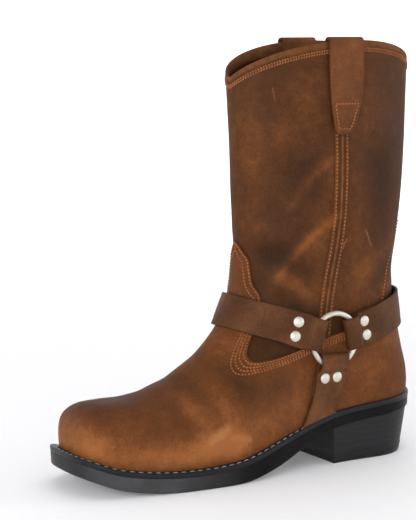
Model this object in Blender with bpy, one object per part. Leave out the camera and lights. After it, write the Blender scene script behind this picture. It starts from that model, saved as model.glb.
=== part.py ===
"""A left harness boot: square toe, welted sole, stacked block heel, ring and three riveted straps a side.

Frame: +Z up, the toe points along -Y, +X is the outer (lateral) side of the foot.
The origin is the centre of the heel's flat bottom. "fwd" below is the distance forward of it, so y = -fwd.
Sizes are in millimetres and turned into metres where a mesh is made.
"""

import math

import bpy
import numpy as np

MM = 0.001
LATERAL, MEDIAL = 1, -1

# Driving dimensions
HEEL_BACK = -41.8  # back of the upper at the heel seat
TOE_FRONT = 238.8  # front of the upper at the sole
WALL = 2.2  # leather of the shaft
OVERLAY = 1.4  # what the vamp and counter add over the shaft leather
LASTING = 10.0  # margin of the upper turned in under the insole
WELT_THICK = 4.0
INSOLE_THICK = 3.2
HEEL_BREAST = 40.0
LIFT_THICK = 7.0  # rubber top lift under the heel
GAP = 0.3  # between pieces that touch
SEAT_GAP = 0.5  # under the lasting margin, where two curved faces meet

LEG_MIDDLE = 30.0
STRAP_WIDE, STRAP_FOLD_WIDE, STRAP_THICK = 26.5, 24.0, 2.0
RING_AT = (43.7, 97.0)  # fwd and height of each ring's centre
RING_OUTER, RING_WIRE = 21.5, 1.9  # outer radius, wire radius
RIVETS_OUT = {"front": 34.0, "back": 28.6, "side": 28.6}  # from the ring's centre
RIVET_APART = 10.9  # between the two of a pair
RIVET_RADIUS, RIVET_HIGH = 4.0, 1.6
RIVET_SEAT = 0.5  # a flat head over a curved strap
SIDE_STRAP_END = 1.3  # above the welt
FRONT_STRAP_ANGLE, BACK_STRAP_ANGLE = 17.5, 167.5  # above the line towards the toe
SIDE_STRAP_SWEEP = 0.0036  # the strap to the sole curves towards the toe

PULL_THICK = 1.8
PULL_LOW, PULL_BEND = 248.0, 315.6  # heights of the tip and of the centre of the bend
PULL_COLUMNS = ("z", "fwd", "wide")
PULL = (
    (248, 35.0, 7.0),
    (250, 34.0, 13.0),
    (255, 33.0, 18.0),
    (262, 31.9, 22.0),
    (275, 30.2, 27.6),
    (303, 28.6, 30.4),
    (330, 28.4, 30.4),
)

SEAM_STRIP, SEAM_BEAD = 0.9, 1.6  # how far the side seam's strip and its bead stand up

# The sole and the foot. fwd; half width of the upper on each side; how far the welt stands out;
# underside of the sole (over the heel, the seat that the heel is built on); top of the welt.
SOLE_COLUMNS = ("fwd", "lateral", "medial", "welt", "bottom", "top")
SOLE = (
    (-60, 32.0, 32.0, 2.2, 36.5, 48.2),
    (-45, 33.0, 33.0, 2.2, 35.5, 47.2),
    (-10, 34.5, 34.5, 2.2, 33.0, 44.8),
    (20, 34.5, 34.0, 2.4, 30.5, 42.3),
    (40, 35.5, 32.5, 2.8, 27.8, 39.8),
    (65, 39.0, 30.5, 3.6, 19.5, 34.2),
    (95, 44.5, 32.5, 4.6, 7.5, 25.5),
    (120, 48.0, 38.0, 5.4, 1.2, 18.2),
    (140, 49.0, 43.0, 5.8, 0.0, 15.3),
    (170, 48.0, 45.5, 5.8, 0.0, 14.8),
    (195, 44.5, 44.0, 5.8, 1.2, 16.2),
    (220, 39.0, 40.5, 5.8, 5.4, 20.0),
    (245, 34.0, 37.0, 5.8, 12.6, 26.8),
    (270, 30.0, 34.0, 5.8, 21.0, 35.0),
)

# Side view of the upper, up the toe, back along the vamp and up the front of the shaft.
# fwd; height; how deep the rounding runs in from this line; its squareness; height on the back line
# that the same row of the upper reaches.
FRONT_COLUMNS = ("fwd", "z", "round", "square", "heel_z")
FRONT = (
    (238.6, 22.6, 25, 2.8, 43.7),
    (239.4, 32.2, 25, 2.8, 47.0),
    (239.0, 42.2, 25, 2.8, 51.0),
    (236.0, 51.4, 26, 2.7, 54.5),
    (226.8, 57.8, 27, 2.6, 57.5),
    (210.4, 59.8, 28, 2.4, 61.5),
    (190.4, 60.6, 32, 2.2, 66.0),
    (169.6, 65.4, 38, 2.1, 71.0),
    (149.6, 75.2, 44, 2.0, 78.5),
    (131.7, 88.6, 49, 2.0, 87.0),
    (118.2, 103.1, 53, 2.0, 96.5),
    (109.1, 120.0, 56, 2.0, 107.5),
    (104.2, 137.0, 60, 2.0, 122.5),
    (102.0, 158.0, 66, 2.0, 145.0),
    (102.6, 180.0, 70, 2.0, 171.0),
    (104.0, 205.0, 72, 2.0, 201.0),
    (104.8, 244.0, 73, 2.0, 245.0),
    (107.0, 278.0, 74, 2.0, 285.0),
    (108.0, 289.5, 74, 2.0, 298.5),
)
BACK_COLUMNS = ("fwd", "z", "round", "square")
BACK = (
    (-41.4, 40.0, 35, 2.1),
    (-42.4, 52.0, 35, 2.1),
    (-41.4, 66.0, 36, 2.1),
    (-38.2, 82.0, 40, 2.0),
    (-35.0, 98.0, 46, 2.0),
    (-31.8, 116.0, 52, 2.0),
    (-31.8, 134.0, 58, 2.0),
    (-34.0, 156.0, 64, 2.0),
    (-39.0, 190.0, 70, 2.0),
    (-43.4, 235.0, 74, 2.0),
    (-45.6, 270.0, 77, 2.0),
    (-47.2, 298.5, 79, 2.0),
    (-48.6, 325.0, 80, 2.0),
)
SHAFT_TOP = (109.2, 325.0, 75, 2.0, 330.0)  # carries the front line on above the collar

# Half widths of the leg by height
LEG_COLUMNS = ("z", "lateral", "medial")
LEG = (
    (40, 36.5, 35.0),
    (97, 37.2, 35.4),
    (125, 36.8, 35.4),
    (150, 37.4, 36.4),
    (200, 40.0, 39.4),
    (250, 38.6, 38.6),
    (300, 34.6, 34.6),
    (330, 33.0, 33.0),
)
FOOT_TO_LEG = (45.0, 128.0)  # heights between which the foot's widths give way to the leg's
TUCK, TUCK_HIGH = 0.055, 14.0  # the upper draws in to the welt

# Edge of the vamp and counter over the shaft: distance round from the front line, and height
EDGE_COLUMNS = ("around", "z")
EDGE = (
    (0, 170.0),
    (4, 167.5),
    (9, 162.0),
    (13.5, 156.5),
    (15.5, 148.0),
    (17, 142.0),
    (21, 136.0),
    (25.5, 130.0),
    (28.5, 118.0),
    (30.5, 103.0),
    (34, 93.0),
    (41, 86.5),
    (50, 84.0),
    (60, 85.5),
    (72, 89.6),
    (87, 96.3),
    (103, 101.3),
    (124, 106.0),
    (150, 112.0),
    (170, 114.0),
)

SIDE_SEAM_COLUMNS = ("z", "fwd")
SIDE_SEAM = (
    (40, 51.0),
    (97, 49.5),
    (127, 46.0),
    (146, 42.7),
    (164, 39.3),
    (185, 37.0),
    (211, 35.4),
    (330, 34.0),
)

COLLAR_DIP = (289.5, 298.5)  # height of the collar at the front and at the back
COLLAR_SIDE = 316.0
COLLAR_ROUND = 1.1  # below 1 the collar is fuller beside its dips

# Mesh fineness
BACK_STEPS, FRONT_STEPS = 9, 15
LOW_ROWS, HIGH_ROWS = 23, 8
LOW_INNER_ROWS, HIGH_INNER_ROWS = 12, 4
ROW_GROWTH = 1.35  # rows are closer at the toe
EDGE_STEP = 0.004  # share of the height over which the edge of the vamp drops


def column(table, columns, name):
    return np.array([row[columns.index(name)] for row in table], float)


def flow(xs, ys, x):
    """A smooth curve through the points (xs, ys), without overshoot."""
    step, rise = np.diff(xs), np.diff(ys)
    slope = rise / step
    tangent = np.concatenate([slope[:1], (slope[:-1] + slope[1:]) / 2, slope[-1:]])
    flat = slope[:-1] * slope[1:] <= 0
    tangent[1:-1][flat] = 0
    x = np.clip(x, xs[0], xs[-1])
    i = np.clip(np.searchsorted(xs, x, side="right") - 1, 0, len(step) - 1)
    t = (x - xs[i]) / step[i]
    rest = 1 - t
    return (
        ys[i] * (1 + 2 * t) * rest**2
        + ys[i + 1] * t**2 * (3 - 2 * t)
        + step[i] * t * rest * (tangent[i] * rest - tangent[i + 1] * t)
    )


def smooth_step(x, low, high):
    t = np.clip((x - low) / (high - low), 0, 1)
    return t * t * (3 - 2 * t)


def sole(name, fwd):
    return flow(column(SOLE, SOLE_COLUMNS, "fwd"), column(SOLE, SOLE_COLUMNS, name), fwd)


def floor_of_upper(fwd):
    """Height of the lasting margin's underside, just above the outsole."""
    return sole("top", fwd) - WELT_THICK + SEAT_GAP


def profile_line(table, columns, samples=180):
    """The rows of a side-view table as a dense smooth line, with its length."""
    rows = np.array(table, float)
    along = np.concatenate([[0], np.cumsum(np.hypot(*np.diff(rows[:, :2], axis=0).T))])
    at = np.linspace(0, along[-1], samples)
    return at, np.stack([flow(along, rows[:, i], at) for i in range(len(columns))], axis=1)


FRONT_AT, FRONT_LINE = profile_line(FRONT, FRONT_COLUMNS)
_, FRONT_LINE_HIGH = profile_line(FRONT + (SHAFT_TOP,), FRONT_COLUMNS)
_, BACK_LINE = profile_line(BACK, BACK_COLUMNS)


def longer(line, extra=60.0):
    """A side-view line carried straight on at both ends."""
    ends = []
    for end, before in ((0, 1), (-1, -2)):
        way = line[end, :2] - line[before, :2]
        added = line[end].copy()
        added[:2] += way / np.linalg.norm(way) * extra
        ends.append(added)
    return np.concatenate([[ends[0]], line, [ends[1]]])


def rounding(fwd, z, line):
    """How full the section is: 0 on the line, 1 where its rounding ends, and negative outside the line.

    The depth inside the line is a soft one: every piece of the line counts, by the inverse sixth power of
    its distance, so that a bend of the line leaves no crease in the surface.
    """
    line = longer(line)
    start, run = line[:-1, :2], np.diff(line[:, :2], axis=0)
    length = np.linalg.norm(run, axis=1)
    way = run / length[:, None]
    place = np.stack([fwd.ravel(), z.ravel()], axis=1)
    along = place @ way.T - (start * way).sum(axis=1)
    across = np.stack([way[:, 1], -way[:, 0]])
    aside = place @ across - (start * across.T).sum(axis=1)
    leg_side = np.sign(LEG_MIDDLE - line[-1, 0])
    beyond = np.maximum(np.maximum(-along, along - length), 0)
    sign, aside = np.sign(aside) * leg_side, np.maximum(np.abs(aside), 0.02 + 0.1 * beyond)

    def total(s):
        square = aside**2 + s**2
        near = s / (4 * aside**2 * square**2) + 3 * s / (8 * aside**4 * square)
        return near + 3 * np.arctan(s / aside) / (8 * aside**5)

    pull = np.maximum(total(along) - total(along - length), 1e-30)
    everything = pull.sum(axis=1)
    depth = (everything / (3 * math.pi / 8)) ** -0.2
    deep, square = (pull @ ((line[:-1, 2:4] + line[1:, 2:4]) / 2) / everything[:, None]).T
    short = 1 - np.clip(depth / deep, 0, 1)
    inside = np.sign((pull * sign).sum(axis=1))
    return (inside * (1 - short**square) ** (1 / square)).reshape(fwd.shape)


def square_of_width(side, fwd, z):
    """Square of the half width of the shaft leather's outer face, negative outside the side view."""
    name = "lateral" if side == LATERAL else "medial"
    foot = sole(name, fwd)
    leg = flow(column(LEG, LEG_COLUMNS, "z"), column(LEG, LEG_COLUMNS, name), z)
    above = np.clip(1 - (z - floor_of_upper(fwd)) / TUCK_HIGH, 0, 1)
    side_width = foot + (leg - foot) * smooth_step(z, *FOOT_TO_LEG)
    side_width = side_width * (1 - TUCK * above**2)
    front, back = rounding(fwd, z, FRONT_LINE_HIGH), rounding(fwd, z, BACK_LINE)
    return side_width**2 * front * np.abs(front) * back * np.abs(back)


def half_width(side, fwd, z):
    return np.sqrt(np.maximum(square_of_width(side, fwd, z), 0))


def skin(side, fwd, z):
    """Points of the shaft leather's outer face and its outward normals, as x, fwd, z."""
    fwd, z = np.broadcast_arrays(np.asarray(fwd, float), np.asarray(z, float))
    wide = half_width(side, fwd, z)
    reach = 0.6
    slope_f = square_of_width(side, fwd + reach, z) - square_of_width(side, fwd - reach, z)
    slope_z = square_of_width(side, fwd, z + reach) - square_of_width(side, fwd, z - reach)
    normal = np.stack([side * 2 * wide, -slope_f / (2 * reach), -slope_z / (2 * reach)], axis=-1)
    normal /= np.linalg.norm(normal, axis=-1, keepdims=True)
    return np.stack([side * wide, fwd, z], axis=-1), normal


def column_shares():
    """Where the columns of one side lie between the back and front lines, and how far the seam raises them.

    Back columns are shares of the way to the side seam, seam columns are offsets from it in millimetres,
    and front columns are shares of the way from the seam to the front.
    """
    back = [1 - math.cos(math.pi / 2 * i / BACK_STEPS) for i in range(BACK_STEPS)]
    seam = [-6.3, -5.9, -1.2, 0, 1.2, 5.9, 6.3]
    seam_raise = [0, SEAM_STRIP, SEAM_STRIP, SEAM_BEAD, SEAM_STRIP, SEAM_STRIP, 0]
    front = [1 - math.cos(math.pi / 2 * (1 - i / FRONT_STEPS)) for i in range(1, FRONT_STEPS + 1)]
    raised = np.array([0] * BACK_STEPS + seam_raise + [0] * FRONT_STEPS, float)
    return np.array(back), np.array(seam, float), np.array(front), raised


BACK_SHARES, SEAM_OFFSETS, FRONT_SHARES, STRIP_RAISE = column_shares()


def side_view(height):
    """fwd and z of each column, for an array of rows by columns of heights from 0, sole, to 1, collar."""
    at = np.clip(height, 0, 1) * FRONT_AT[-1]
    front_f, front_z, _, _, heel_z = (np.interp(at, FRONT_AT, FRONT_LINE[:, i]) for i in range(5))
    back_f = np.interp(heel_z, BACK_LINE[:, 1], BACK_LINE[:, 0])
    span = front_f - back_f
    seam_z, seam_f = column(SIDE_SEAM, SIDE_SEAM_COLUMNS, "z"), column(SIDE_SEAM, SIDE_SEAM_COLUMNS, "fwd")
    seam = np.full(height.shape, 0.5)
    for _ in range(6):
        seam = (flow(seam_z, seam_f, heel_z + seam * (front_z - heel_z)) - back_f) / span
    places = np.empty(height.shape)
    backs, seams = len(BACK_SHARES), len(SEAM_OFFSETS)
    middle = slice(backs, backs + seams)
    places[:, :backs] = seam[:, :backs] * BACK_SHARES
    places[:, middle] = seam[:, middle] + SEAM_OFFSETS / span[:, middle]
    places[:, backs + seams :] = 1 - (1 - seam[:, backs + seams :]) * FRONT_SHARES
    fwd = back_f + span * places
    z = heel_z + (front_z - heel_z) * places
    at_sole = HEEL_BACK + (TOE_FRONT - HEEL_BACK) * places
    straight = floor_of_upper(HEEL_BACK) + places * (floor_of_upper(TOE_FRONT) - floor_of_upper(HEEL_BACK))
    z += (floor_of_upper(at_sole) - straight) * np.clip(1 - height / 0.3, 0, 1) ** 2
    swell = np.clip(4 * places * (1 - places), 0, 1) ** (COLLAR_ROUND / 2)
    z += (COLLAR_SIDE - sum(COLLAR_DIP) / 2) * swell * np.clip((height - 0.72) / 0.28, 0, 1) ** 1.5
    return fwd, z


def around_front(side, fwd, z):
    """Distance round the upper from its front line, for rows of points that run from back to front."""
    points = np.stack([side * half_width(side, fwd, z), fwd, z], axis=-1)
    steps = np.linalg.norm(np.diff(points, axis=1), axis=2)
    return np.concatenate([np.cumsum(steps[:, ::-1], axis=1)[:, ::-1], np.zeros((len(fwd), 1))], axis=1)


def edge_heights(side):
    """The height share at which each column crosses the edge of the vamp and counter."""
    tries = np.linspace(0.25, 0.85, 240)
    height = np.repeat(tries[:, None], len(STRIP_RAISE), axis=1)
    fwd, z = side_view(height)
    around = around_front(side, fwd, z)
    edge = flow(column(EDGE, EDGE_COLUMNS, "around"), column(EDGE, EDGE_COLUMNS, "z"), around)
    return tries[(z > edge).argmax(axis=0)]


def upper_rows(side):
    """Height shares, rows by columns, with a row each side of the vamp's edge, and how far each is raised."""
    edge = edge_heights(side)
    usual = np.median(edge)
    low = np.arange(LOW_ROWS + 1) / LOW_ROWS
    rows = [usual * share**ROW_GROWTH + (edge - usual) * share**3 for share in low]
    raised = [np.full(len(edge), OVERLAY) for _ in low]
    for i in range(HIGH_ROWS + 1):
        rows.append(edge + EDGE_STEP + (1 - edge - EDGE_STEP) * i / HIGH_ROWS)
        raised.append(STRIP_RAISE)
    return np.array(rows), np.array(raised)


def round_the_boot(lateral, medial):
    """Joins the two sides, each rows by columns from back to front, into closed rings."""
    return np.concatenate([lateral, medial[:, -2:0:-1]], axis=1)


def grid_normals(points):
    """Outward normals of rings of points that run from the back, along the lateral side, to the toe."""
    around = np.roll(points, -1, axis=1) - np.roll(points, 1, axis=1)
    up = np.gradient(points, axis=0)
    normal = np.cross(around, up)
    return normal / np.linalg.norm(normal, axis=2, keepdims=True)


def rings_at(heights):
    """Points of both sides at these height shares, rows by columns for each side, as closed rings."""
    sides = []
    for side, height in zip((LATERAL, MEDIAL), heights, strict=True):
        fwd, z = side_view(height)
        wide = half_width(side, fwd, z)
        wide[:, 0] = wide[:, -1] = 0
        sides.append(np.stack([side * wide, fwd, z], axis=2))
    return round_the_boot(*sides)


def outer_wall():
    heights, raised = zip(*(upper_rows(side) for side in (LATERAL, MEDIAL)), strict=True)
    points = rings_at(heights)
    return points + grid_normals(points) * round_the_boot(*raised)[..., None]


def inner_wall():
    """The lining's face, with rows that keep clear of the vamp's edge."""
    shares = np.concatenate([np.linspace(0.05, 0.6, LOW_INNER_ROWS), np.linspace(0.7, 1, HIGH_INNER_ROWS)])
    height = np.repeat(shares[:, None], len(STRIP_RAISE), axis=1)
    points = rings_at((height, height))
    return points - grid_normals(points) * WALL


OUTER = outer_wall()


def plan_offset(ring, distance):
    """A ring of points moved outwards in plan."""
    around = np.roll(ring, -1, axis=0) - np.roll(ring, 1, axis=0)
    out = np.stack([around[:, 1], -around[:, 0]], axis=1)
    middle = ring[:, :2].mean(axis=0)
    out *= np.sign((out * (ring[:, :2] - middle)).sum())
    out /= np.linalg.norm(out, axis=1, keepdims=True)
    moved = ring.copy()
    moved[:, :2] += out * np.reshape(distance, (-1, 1))
    return moved


def towards_middle(ring, distance):
    """A ring of points moved in plan towards the line down the middle of the foot."""
    half = len(ring) // 2
    middle = (ring[:, 0] + ring[(2 * half - np.arange(len(ring))) % len(ring), 0]) / 2
    fwd = np.clip(ring[:, 1], ring[:, 1].min() + 28, ring[:, 1].max() - 28)
    way = np.stack([middle, fwd], axis=1) - ring[:, :2]
    moved = ring.copy()
    moved[:, :2] += way / np.linalg.norm(way, axis=1, keepdims=True) * distance
    return moved


def at_height(ring, height):
    moved = ring.copy()
    moved[:, 2] = height
    return moved


def make_object(name, points, faces, material):
    """A mesh object from points given as x, fwd, z in millimetres."""
    points = np.asarray(points, float).reshape(-1, 3) * (MM, -MM, MM)
    mesh = bpy.data.meshes.new(name)
    mesh.from_pydata(points.tolist(), [], faces)
    mesh.update()
    volume = 0.0
    mesh.calc_loop_triangles()
    for triangle in mesh.loop_triangles:
        a, b, c = (mesh.vertices[i].co for i in triangle.vertices)
        volume += a.dot(b.cross(c))
    if volume < 0:
        mesh.flip_normals()
    mesh.materials.append(MATERIALS[material])
    mesh.shade_smooth()
    mesh.set_sharp_from_angle(angle=math.radians(35))
    made = bpy.data.objects.new(name, mesh)
    bpy.context.scene.collection.objects.link(made)
    return made


def ring_faces(rings, size, closed=True):
    """Quads between neighbouring rings of points, and between the last and the first where closed."""
    faces = []
    for i in range(rings if closed else rings - 1):
        below, above = i * size, (i + 1) % rings * size
        for j in range(size):
            k = (j + 1) % size
            faces.append((below + j, below + k, above + k, above + j))
    return faces


def ladder_faces(ring, size):
    """A cap over a ring whose two sides run alike, as quads from side to side. ring is the ring's number."""
    half, start = size // 2, ring * size
    faces = [(start, start + 1, start + size - 1), (start + half - 1, start + half, start + half + 1)]
    for i in range(1, half - 1):
        faces.append((start + i, start + i + 1, start + size - i - 1, start + size - i))
    return faces


def plate(name, rings, material):
    """A solid from rings stacked bottom to top, capped across at both ends."""
    size = len(rings[0])
    faces = ring_faces(len(rings), size, closed=False)
    faces += [face[::-1] for face in ladder_faces(0, size)] + ladder_faces(len(rings) - 1, size)
    return make_object(name, np.concatenate(rings), faces, material)


def upper():
    """One wall from the lasting margin under the insole to the collar, open at both."""
    inner = inner_wall()[::-1]
    inner[0][:, 2] = OUTER[-1][:, 2]
    feather = OUTER[0]
    floor = floor_of_upper(feather[:, 1])
    inside = plan_offset(feather, -(WALL + OVERLAY))
    margin = towards_middle(feather, WALL + OVERLAY + LASTING)
    rings = list(OUTER)
    rings[0] = at_height(feather, floor)
    rings += list(inner)
    rings.append(at_height(inside, floor_of_upper(inside[:, 1]) + WALL))
    rings.append(at_height(margin, floor_of_upper(margin[:, 1]) + WALL))
    rings.append(at_height(margin, floor_of_upper(margin[:, 1])))
    size = len(feather)
    return make_object("upper", np.concatenate(rings), ring_faces(len(rings), size), "vamp_leather")


def ring_at_welt_top():
    """The upper's outline where it meets the top of the welt."""
    row = OUTER[:6]
    top = sole("top", row[0][:, 1])
    ring = np.empty_like(row[0])
    for j in range(len(ring)):
        ring[j] = [np.interp(top[j], row[:, j, 2], row[:, j, i]) for i in range(3)]
    return ring


def sole_outline():
    """The outer edge of the welt and outsole."""
    feather = ring_at_welt_top()
    return plan_offset(feather, sole("welt", feather[:, 1]))


def welt():
    """The strip that the upper is sewn to, on through as the rim of the heel seat."""
    inside = plan_offset(ring_at_welt_top(), 2 * GAP)
    outline = sole_outline()
    chamfer = plan_offset(outline, -1.0)
    rings = [
        at_height(inside, sole("top", inside[:, 1])),
        at_height(chamfer, sole("top", chamfer[:, 1])),
        at_height(outline, sole("top", outline[:, 1]) - 1.1),
        at_height(outline, sole("top", outline[:, 1]) - WELT_THICK + GAP),
        at_height(inside, sole("top", inside[:, 1]) - WELT_THICK + GAP),
    ]
    return make_object("welt", np.concatenate(rings), ring_faces(len(rings), len(inside)), "black_welt")


def outsole():
    """Toe spring, waist and heel seat in one thickness, with a groove round its edge."""
    outline = sole_outline()
    levels = ((0.0, -1.4), (0.1, -0.6), (0.52, -0.5), (0.56, -1.3), (0.6, -0.5), (1.0, -0.4))
    rings = []
    for share, out in levels:
        ring = plan_offset(outline, out)
        low, high = sole("bottom", ring[:, 1]), sole("top", ring[:, 1]) - WELT_THICK
        rings.append(at_height(ring, low + (high - low) * share))
    return plate("outsole", rings, "black_rubber")


def heel_ring(share_down, inset=0.0):
    """Outline of the heel at a level between its seat, 0, and the floor, 1, as one closed ring."""
    outline = plan_offset(sole_outline(), -2.2)
    half = len(outline) // 2
    lateral, medial = outline[: half + 1], outline[np.r_[0, len(outline) - 1 : half - 1 : -1]]
    stations = 10
    back = outline[0, 1]
    turn = np.linspace(0, 1, stations + 1)
    fwd = back + (HEEL_BREAST - back) * (1 - np.cos(turn * math.pi / 2)) ** 0.9
    sides = []
    for path in (lateral, medial):
        x = np.interp(fwd, path[:, 1], path[:, 0])
        sides.append(np.stack([x, fwd, np.zeros(len(fwd))], axis=1))
    sides[0][0, 0] = sides[1][0, 0] = 0
    breast = [(sides[0][-1] + (sides[1][-1] - sides[0][-1]) * s) for s in (0.5,)]
    ring = np.concatenate([sides[0], breast, sides[1][:0:-1]])
    top = sole("bottom", ring[:, 1]) - GAP
    ring[:, 0] *= 1 - 0.05 * share_down
    ring[:, 1] += share_down * (6.2 - 7.2 * (ring[:, 1] - back) / (HEEL_BREAST - back))
    ring[:, 2] = top * (1 - share_down)
    if inset:
        middle = np.array([0, (back + HEEL_BREAST) / 2])
        out = ring[:, :2] - middle
        ring[:, :2] -= out / np.linalg.norm(out, axis=1, keepdims=True) * inset
    return ring


def heel():
    """The stacked block, a groove between its layers, and the rubber lift under it."""
    lift_share = 1 - LIFT_THICK / 30.0
    groove, deep = 0.012, 0.45
    rings = [heel_ring(0)]
    for level in (0.2, 0.4, 0.58):
        rings += [heel_ring(level - groove), heel_ring(level, deep), heel_ring(level + groove)]
    rings.append(heel_ring(lift_share))
    rings[-1] = at_height(rings[-1], LIFT_THICK + GAP)
    plate("heel_stack", rings[::-1], "black_stack")
    edge = heel_ring(1, inset=0.8)
    lift = [edge, heel_ring(1), heel_ring(lift_share)]
    lift[0] = at_height(lift[0], 0)
    lift[1] = at_height(lift[1], 0.8)
    lift[2] = at_height(lift[2], LIFT_THICK)
    plate("top_lift", lift, "black_rubber")


def insole():
    """The board and sock that the foot stands on, over the lasting margin."""
    inside = plan_offset(OUTER[0], -(WALL + OVERLAY + 0.6))
    low = floor_of_upper(inside[:, 1]) + WALL + SEAT_GAP
    rings = [at_height(inside, low), at_height(inside, low + INSOLE_THICK)]
    return plate("insole", rings, "insole_leather")


def ring_frame(side):
    """Centre and axes of a ring: towards the toe, up, and out of the boot."""
    foot, out = skin(side, *RING_AT)
    out = out / np.linalg.norm(out)
    toe = np.array([0, 1.0, 0]) - out * out[1]
    toe /= np.linalg.norm(toe)
    up = np.array([0, 0, 1.0]) - out * out[2]
    up -= toe * up.dot(toe)
    return foot, toe, up / np.linalg.norm(up), out


LOW = OVERLAY + GAP + STRAP_THICK / 2  # middle of a strap that lies on the vamp leather
RING_HIGH = LOW + STRAP_THICK / 2 + GAP + RING_WIRE
OVER_RING = RING_HIGH + RING_WIRE + GAP + STRAP_THICK / 2
DOUBLED = LOW + STRAP_THICK + GAP
ROUND_THE_BOOT = 1.5  # a strap stands this much further off the boot away from the rings
RING_OFF = 0.7  # the plane of a ring off the leather at its centre
FOLD_AT = 12.4  # where a strap turns round the ring, from the ring's centre
ON_PLANE, ON_SKIN = 27.0, 44.0  # a strap leaves the ring's plane for the boot's own surface


def fold_path():
    """Middle line of a strap's end, as distance from the ring's centre and height: the tail that lies
    underneath, the turn round the ring, and the leg that comes back over it."""
    radius = (OVER_RING - LOW) / 2
    turn = FOLD_AT + radius - STRAP_THICK / 2
    path = [(41.0, LOW), (33.0, LOW), (25.0, LOW), (turn, LOW)]
    for i in range(1, 6):
        angle = math.pi * i / 6
        path.append((turn - radius * math.sin(angle), LOW + radius - radius * math.cos(angle)))
    path += [(turn, OVER_RING), (20.0, OVER_RING), (21.9, OVER_RING - 0.9)]
    path += [(23.6, DOUBLED + 0.7), (24.4, DOUBLED), (34.0, DOUBLED), (42.5, DOUBLED)]
    path += [(48.0, (DOUBLED + LOW + ROUND_THE_BOOT) / 2), (53.5, LOW + ROUND_THE_BOOT)]
    return path


def lay(side, direction, out, across, height):
    """A point of a strap: out along it from the ring's centre, across it, and height over the skin.

    direction(out, across) gives fwd and z in the side view. Near the ring the strap lies in the ring's plane.
    """
    fwd, z = direction(out, across)
    point, normal = skin(side, fwd, z)
    on_skin = point + normal * height
    centre, toe, up, away = ring_frame(side)
    flat = centre + toe * (fwd - RING_AT[0]) + up * (z - RING_AT[1]) + away * (height + RING_OFF)
    flat += away * max(0.0, (on_skin - flat) @ away)
    share = smooth_step(out, ON_PLANE, ON_SKIN)
    return flat + (on_skin - flat) * share


def straight(angle):
    """The side-view direction of a strap that leaves the ring at this angle above the line to the toe."""
    cos, sin = math.cos(math.radians(angle)), math.sin(math.radians(angle))
    turn = 1 if cos > 0 else -1

    def direction(out, across):
        fwd = RING_AT[0] + out * cos - turn * across * sin
        return fwd, RING_AT[1] + out * sin + turn * across * cos

    return direction


def swept(out, across):
    """The side-view direction of the strap to the sole."""
    return RING_AT[0] + SIDE_STRAP_SWEEP * out**2 + across, RING_AT[1] - out


def reach(direction, across, line):
    """How far out a strap meets the front or back line of the boot."""
    tries = np.linspace(50, 100, 501)
    fwd, z = direction(tries, across)
    inside = np.abs(fwd - RING_AT[0]) < np.abs(np.interp(z, line[:, 1], line[:, 0]) - RING_AT[0])
    return tries[(~inside).argmax()]


ACROSS = (-0.5, 0.0, 0.5)  # shares of the width


def strap_width(out):
    return STRAP_FOLD_WIDE + (STRAP_WIDE - STRAP_FOLD_WIDE) * smooth_step(out, 18.0, 28.0)


def ribbon(name, sections, material):
    """A strap from its sections, each a list of points: across the outer face, then back across the inner."""
    size = len(sections[0])
    faces = ring_faces(len(sections), size, closed=False)
    wide = size // 2
    for start, turn in ((0, -1), ((len(sections) - 1) * size, 1)):
        for i in range(wide - 1):
            face = (start + i, start + i + 1, start + size - 2 - i, start + size - 1 - i)
            faces.append(face[::turn])
    return make_object(name, np.concatenate(sections), faces, material)


def fold_sections(side, direction):
    """The sections of a strap's end, from the tip of its tail."""
    path = np.array(fold_path())
    ahead = np.gradient(path, axis=0)
    ahead /= np.linalg.norm(ahead, axis=1, keepdims=True)
    face = np.stack([ahead[:, 1], -ahead[:, 0]], axis=1) * STRAP_THICK / 2
    sections = []
    for middle, step in zip(path, face, strict=True):
        wide = strap_width(middle[0])
        outer, inner = [], []
        for share in ACROSS:
            outer.append(lay(side, direction, middle[0] - step[0], share * wide, middle[1] - step[1]))
            inner.append(lay(side, direction, middle[0] + step[0], share * wide, middle[1] + step[1]))
        sections.append(np.array(outer + inner[::-1]))
    return sections


def wrap_sections(side, direction, line, steps=9):
    """The rest of a strap, from its doubled end to the middle of the boot's front or back."""
    ends = [reach(direction, share * STRAP_WIDE, line) for share in ACROSS]
    start = fold_path()[-1][0]
    sections = []
    for i in range(1, steps + 1):
        done = math.sin(math.pi / 2 * i / steps)
        low, high = [], []
        for share, end in zip(ACROSS, ends, strict=True):
            out = start + (end - start) * done
            middle = LOW + ROUND_THE_BOOT
            low.append(lay(side, direction, out, share * STRAP_WIDE, middle - STRAP_THICK / 2))
            high.append(lay(side, direction, out, share * STRAP_WIDE, middle + STRAP_THICK / 2))
            if i == steps:
                low[-1][0] = high[-1][0] = 0
        low[1], high[1] = lifted(low), lifted(high)
        sections.append(np.array(high + low[::-1]))
    return sections


def lifted(row):
    """The middle of a strap bridges a hollow of the boot: it lies no deeper than the line between the edges."""
    bridge, middle = (row[0] + row[2]) / 2, row[1]
    axis = np.array([0, LEG_MIDDLE])
    far = np.linalg.norm(bridge[:2] - axis) > np.linalg.norm(middle[:2] - axis)
    return bridge if far else middle


def long_strap(name, angle, line):
    """A strap from the lateral ring round the boot to the medial one."""
    direction = straight(angle)
    lateral = fold_sections(LATERAL, direction) + wrap_sections(LATERAL, direction, line)
    medial = fold_sections(MEDIAL, direction) + wrap_sections(MEDIAL, direction, line)[:-1]
    return ribbon(name, lateral + medial[::-1], "strap_leather")


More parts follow.
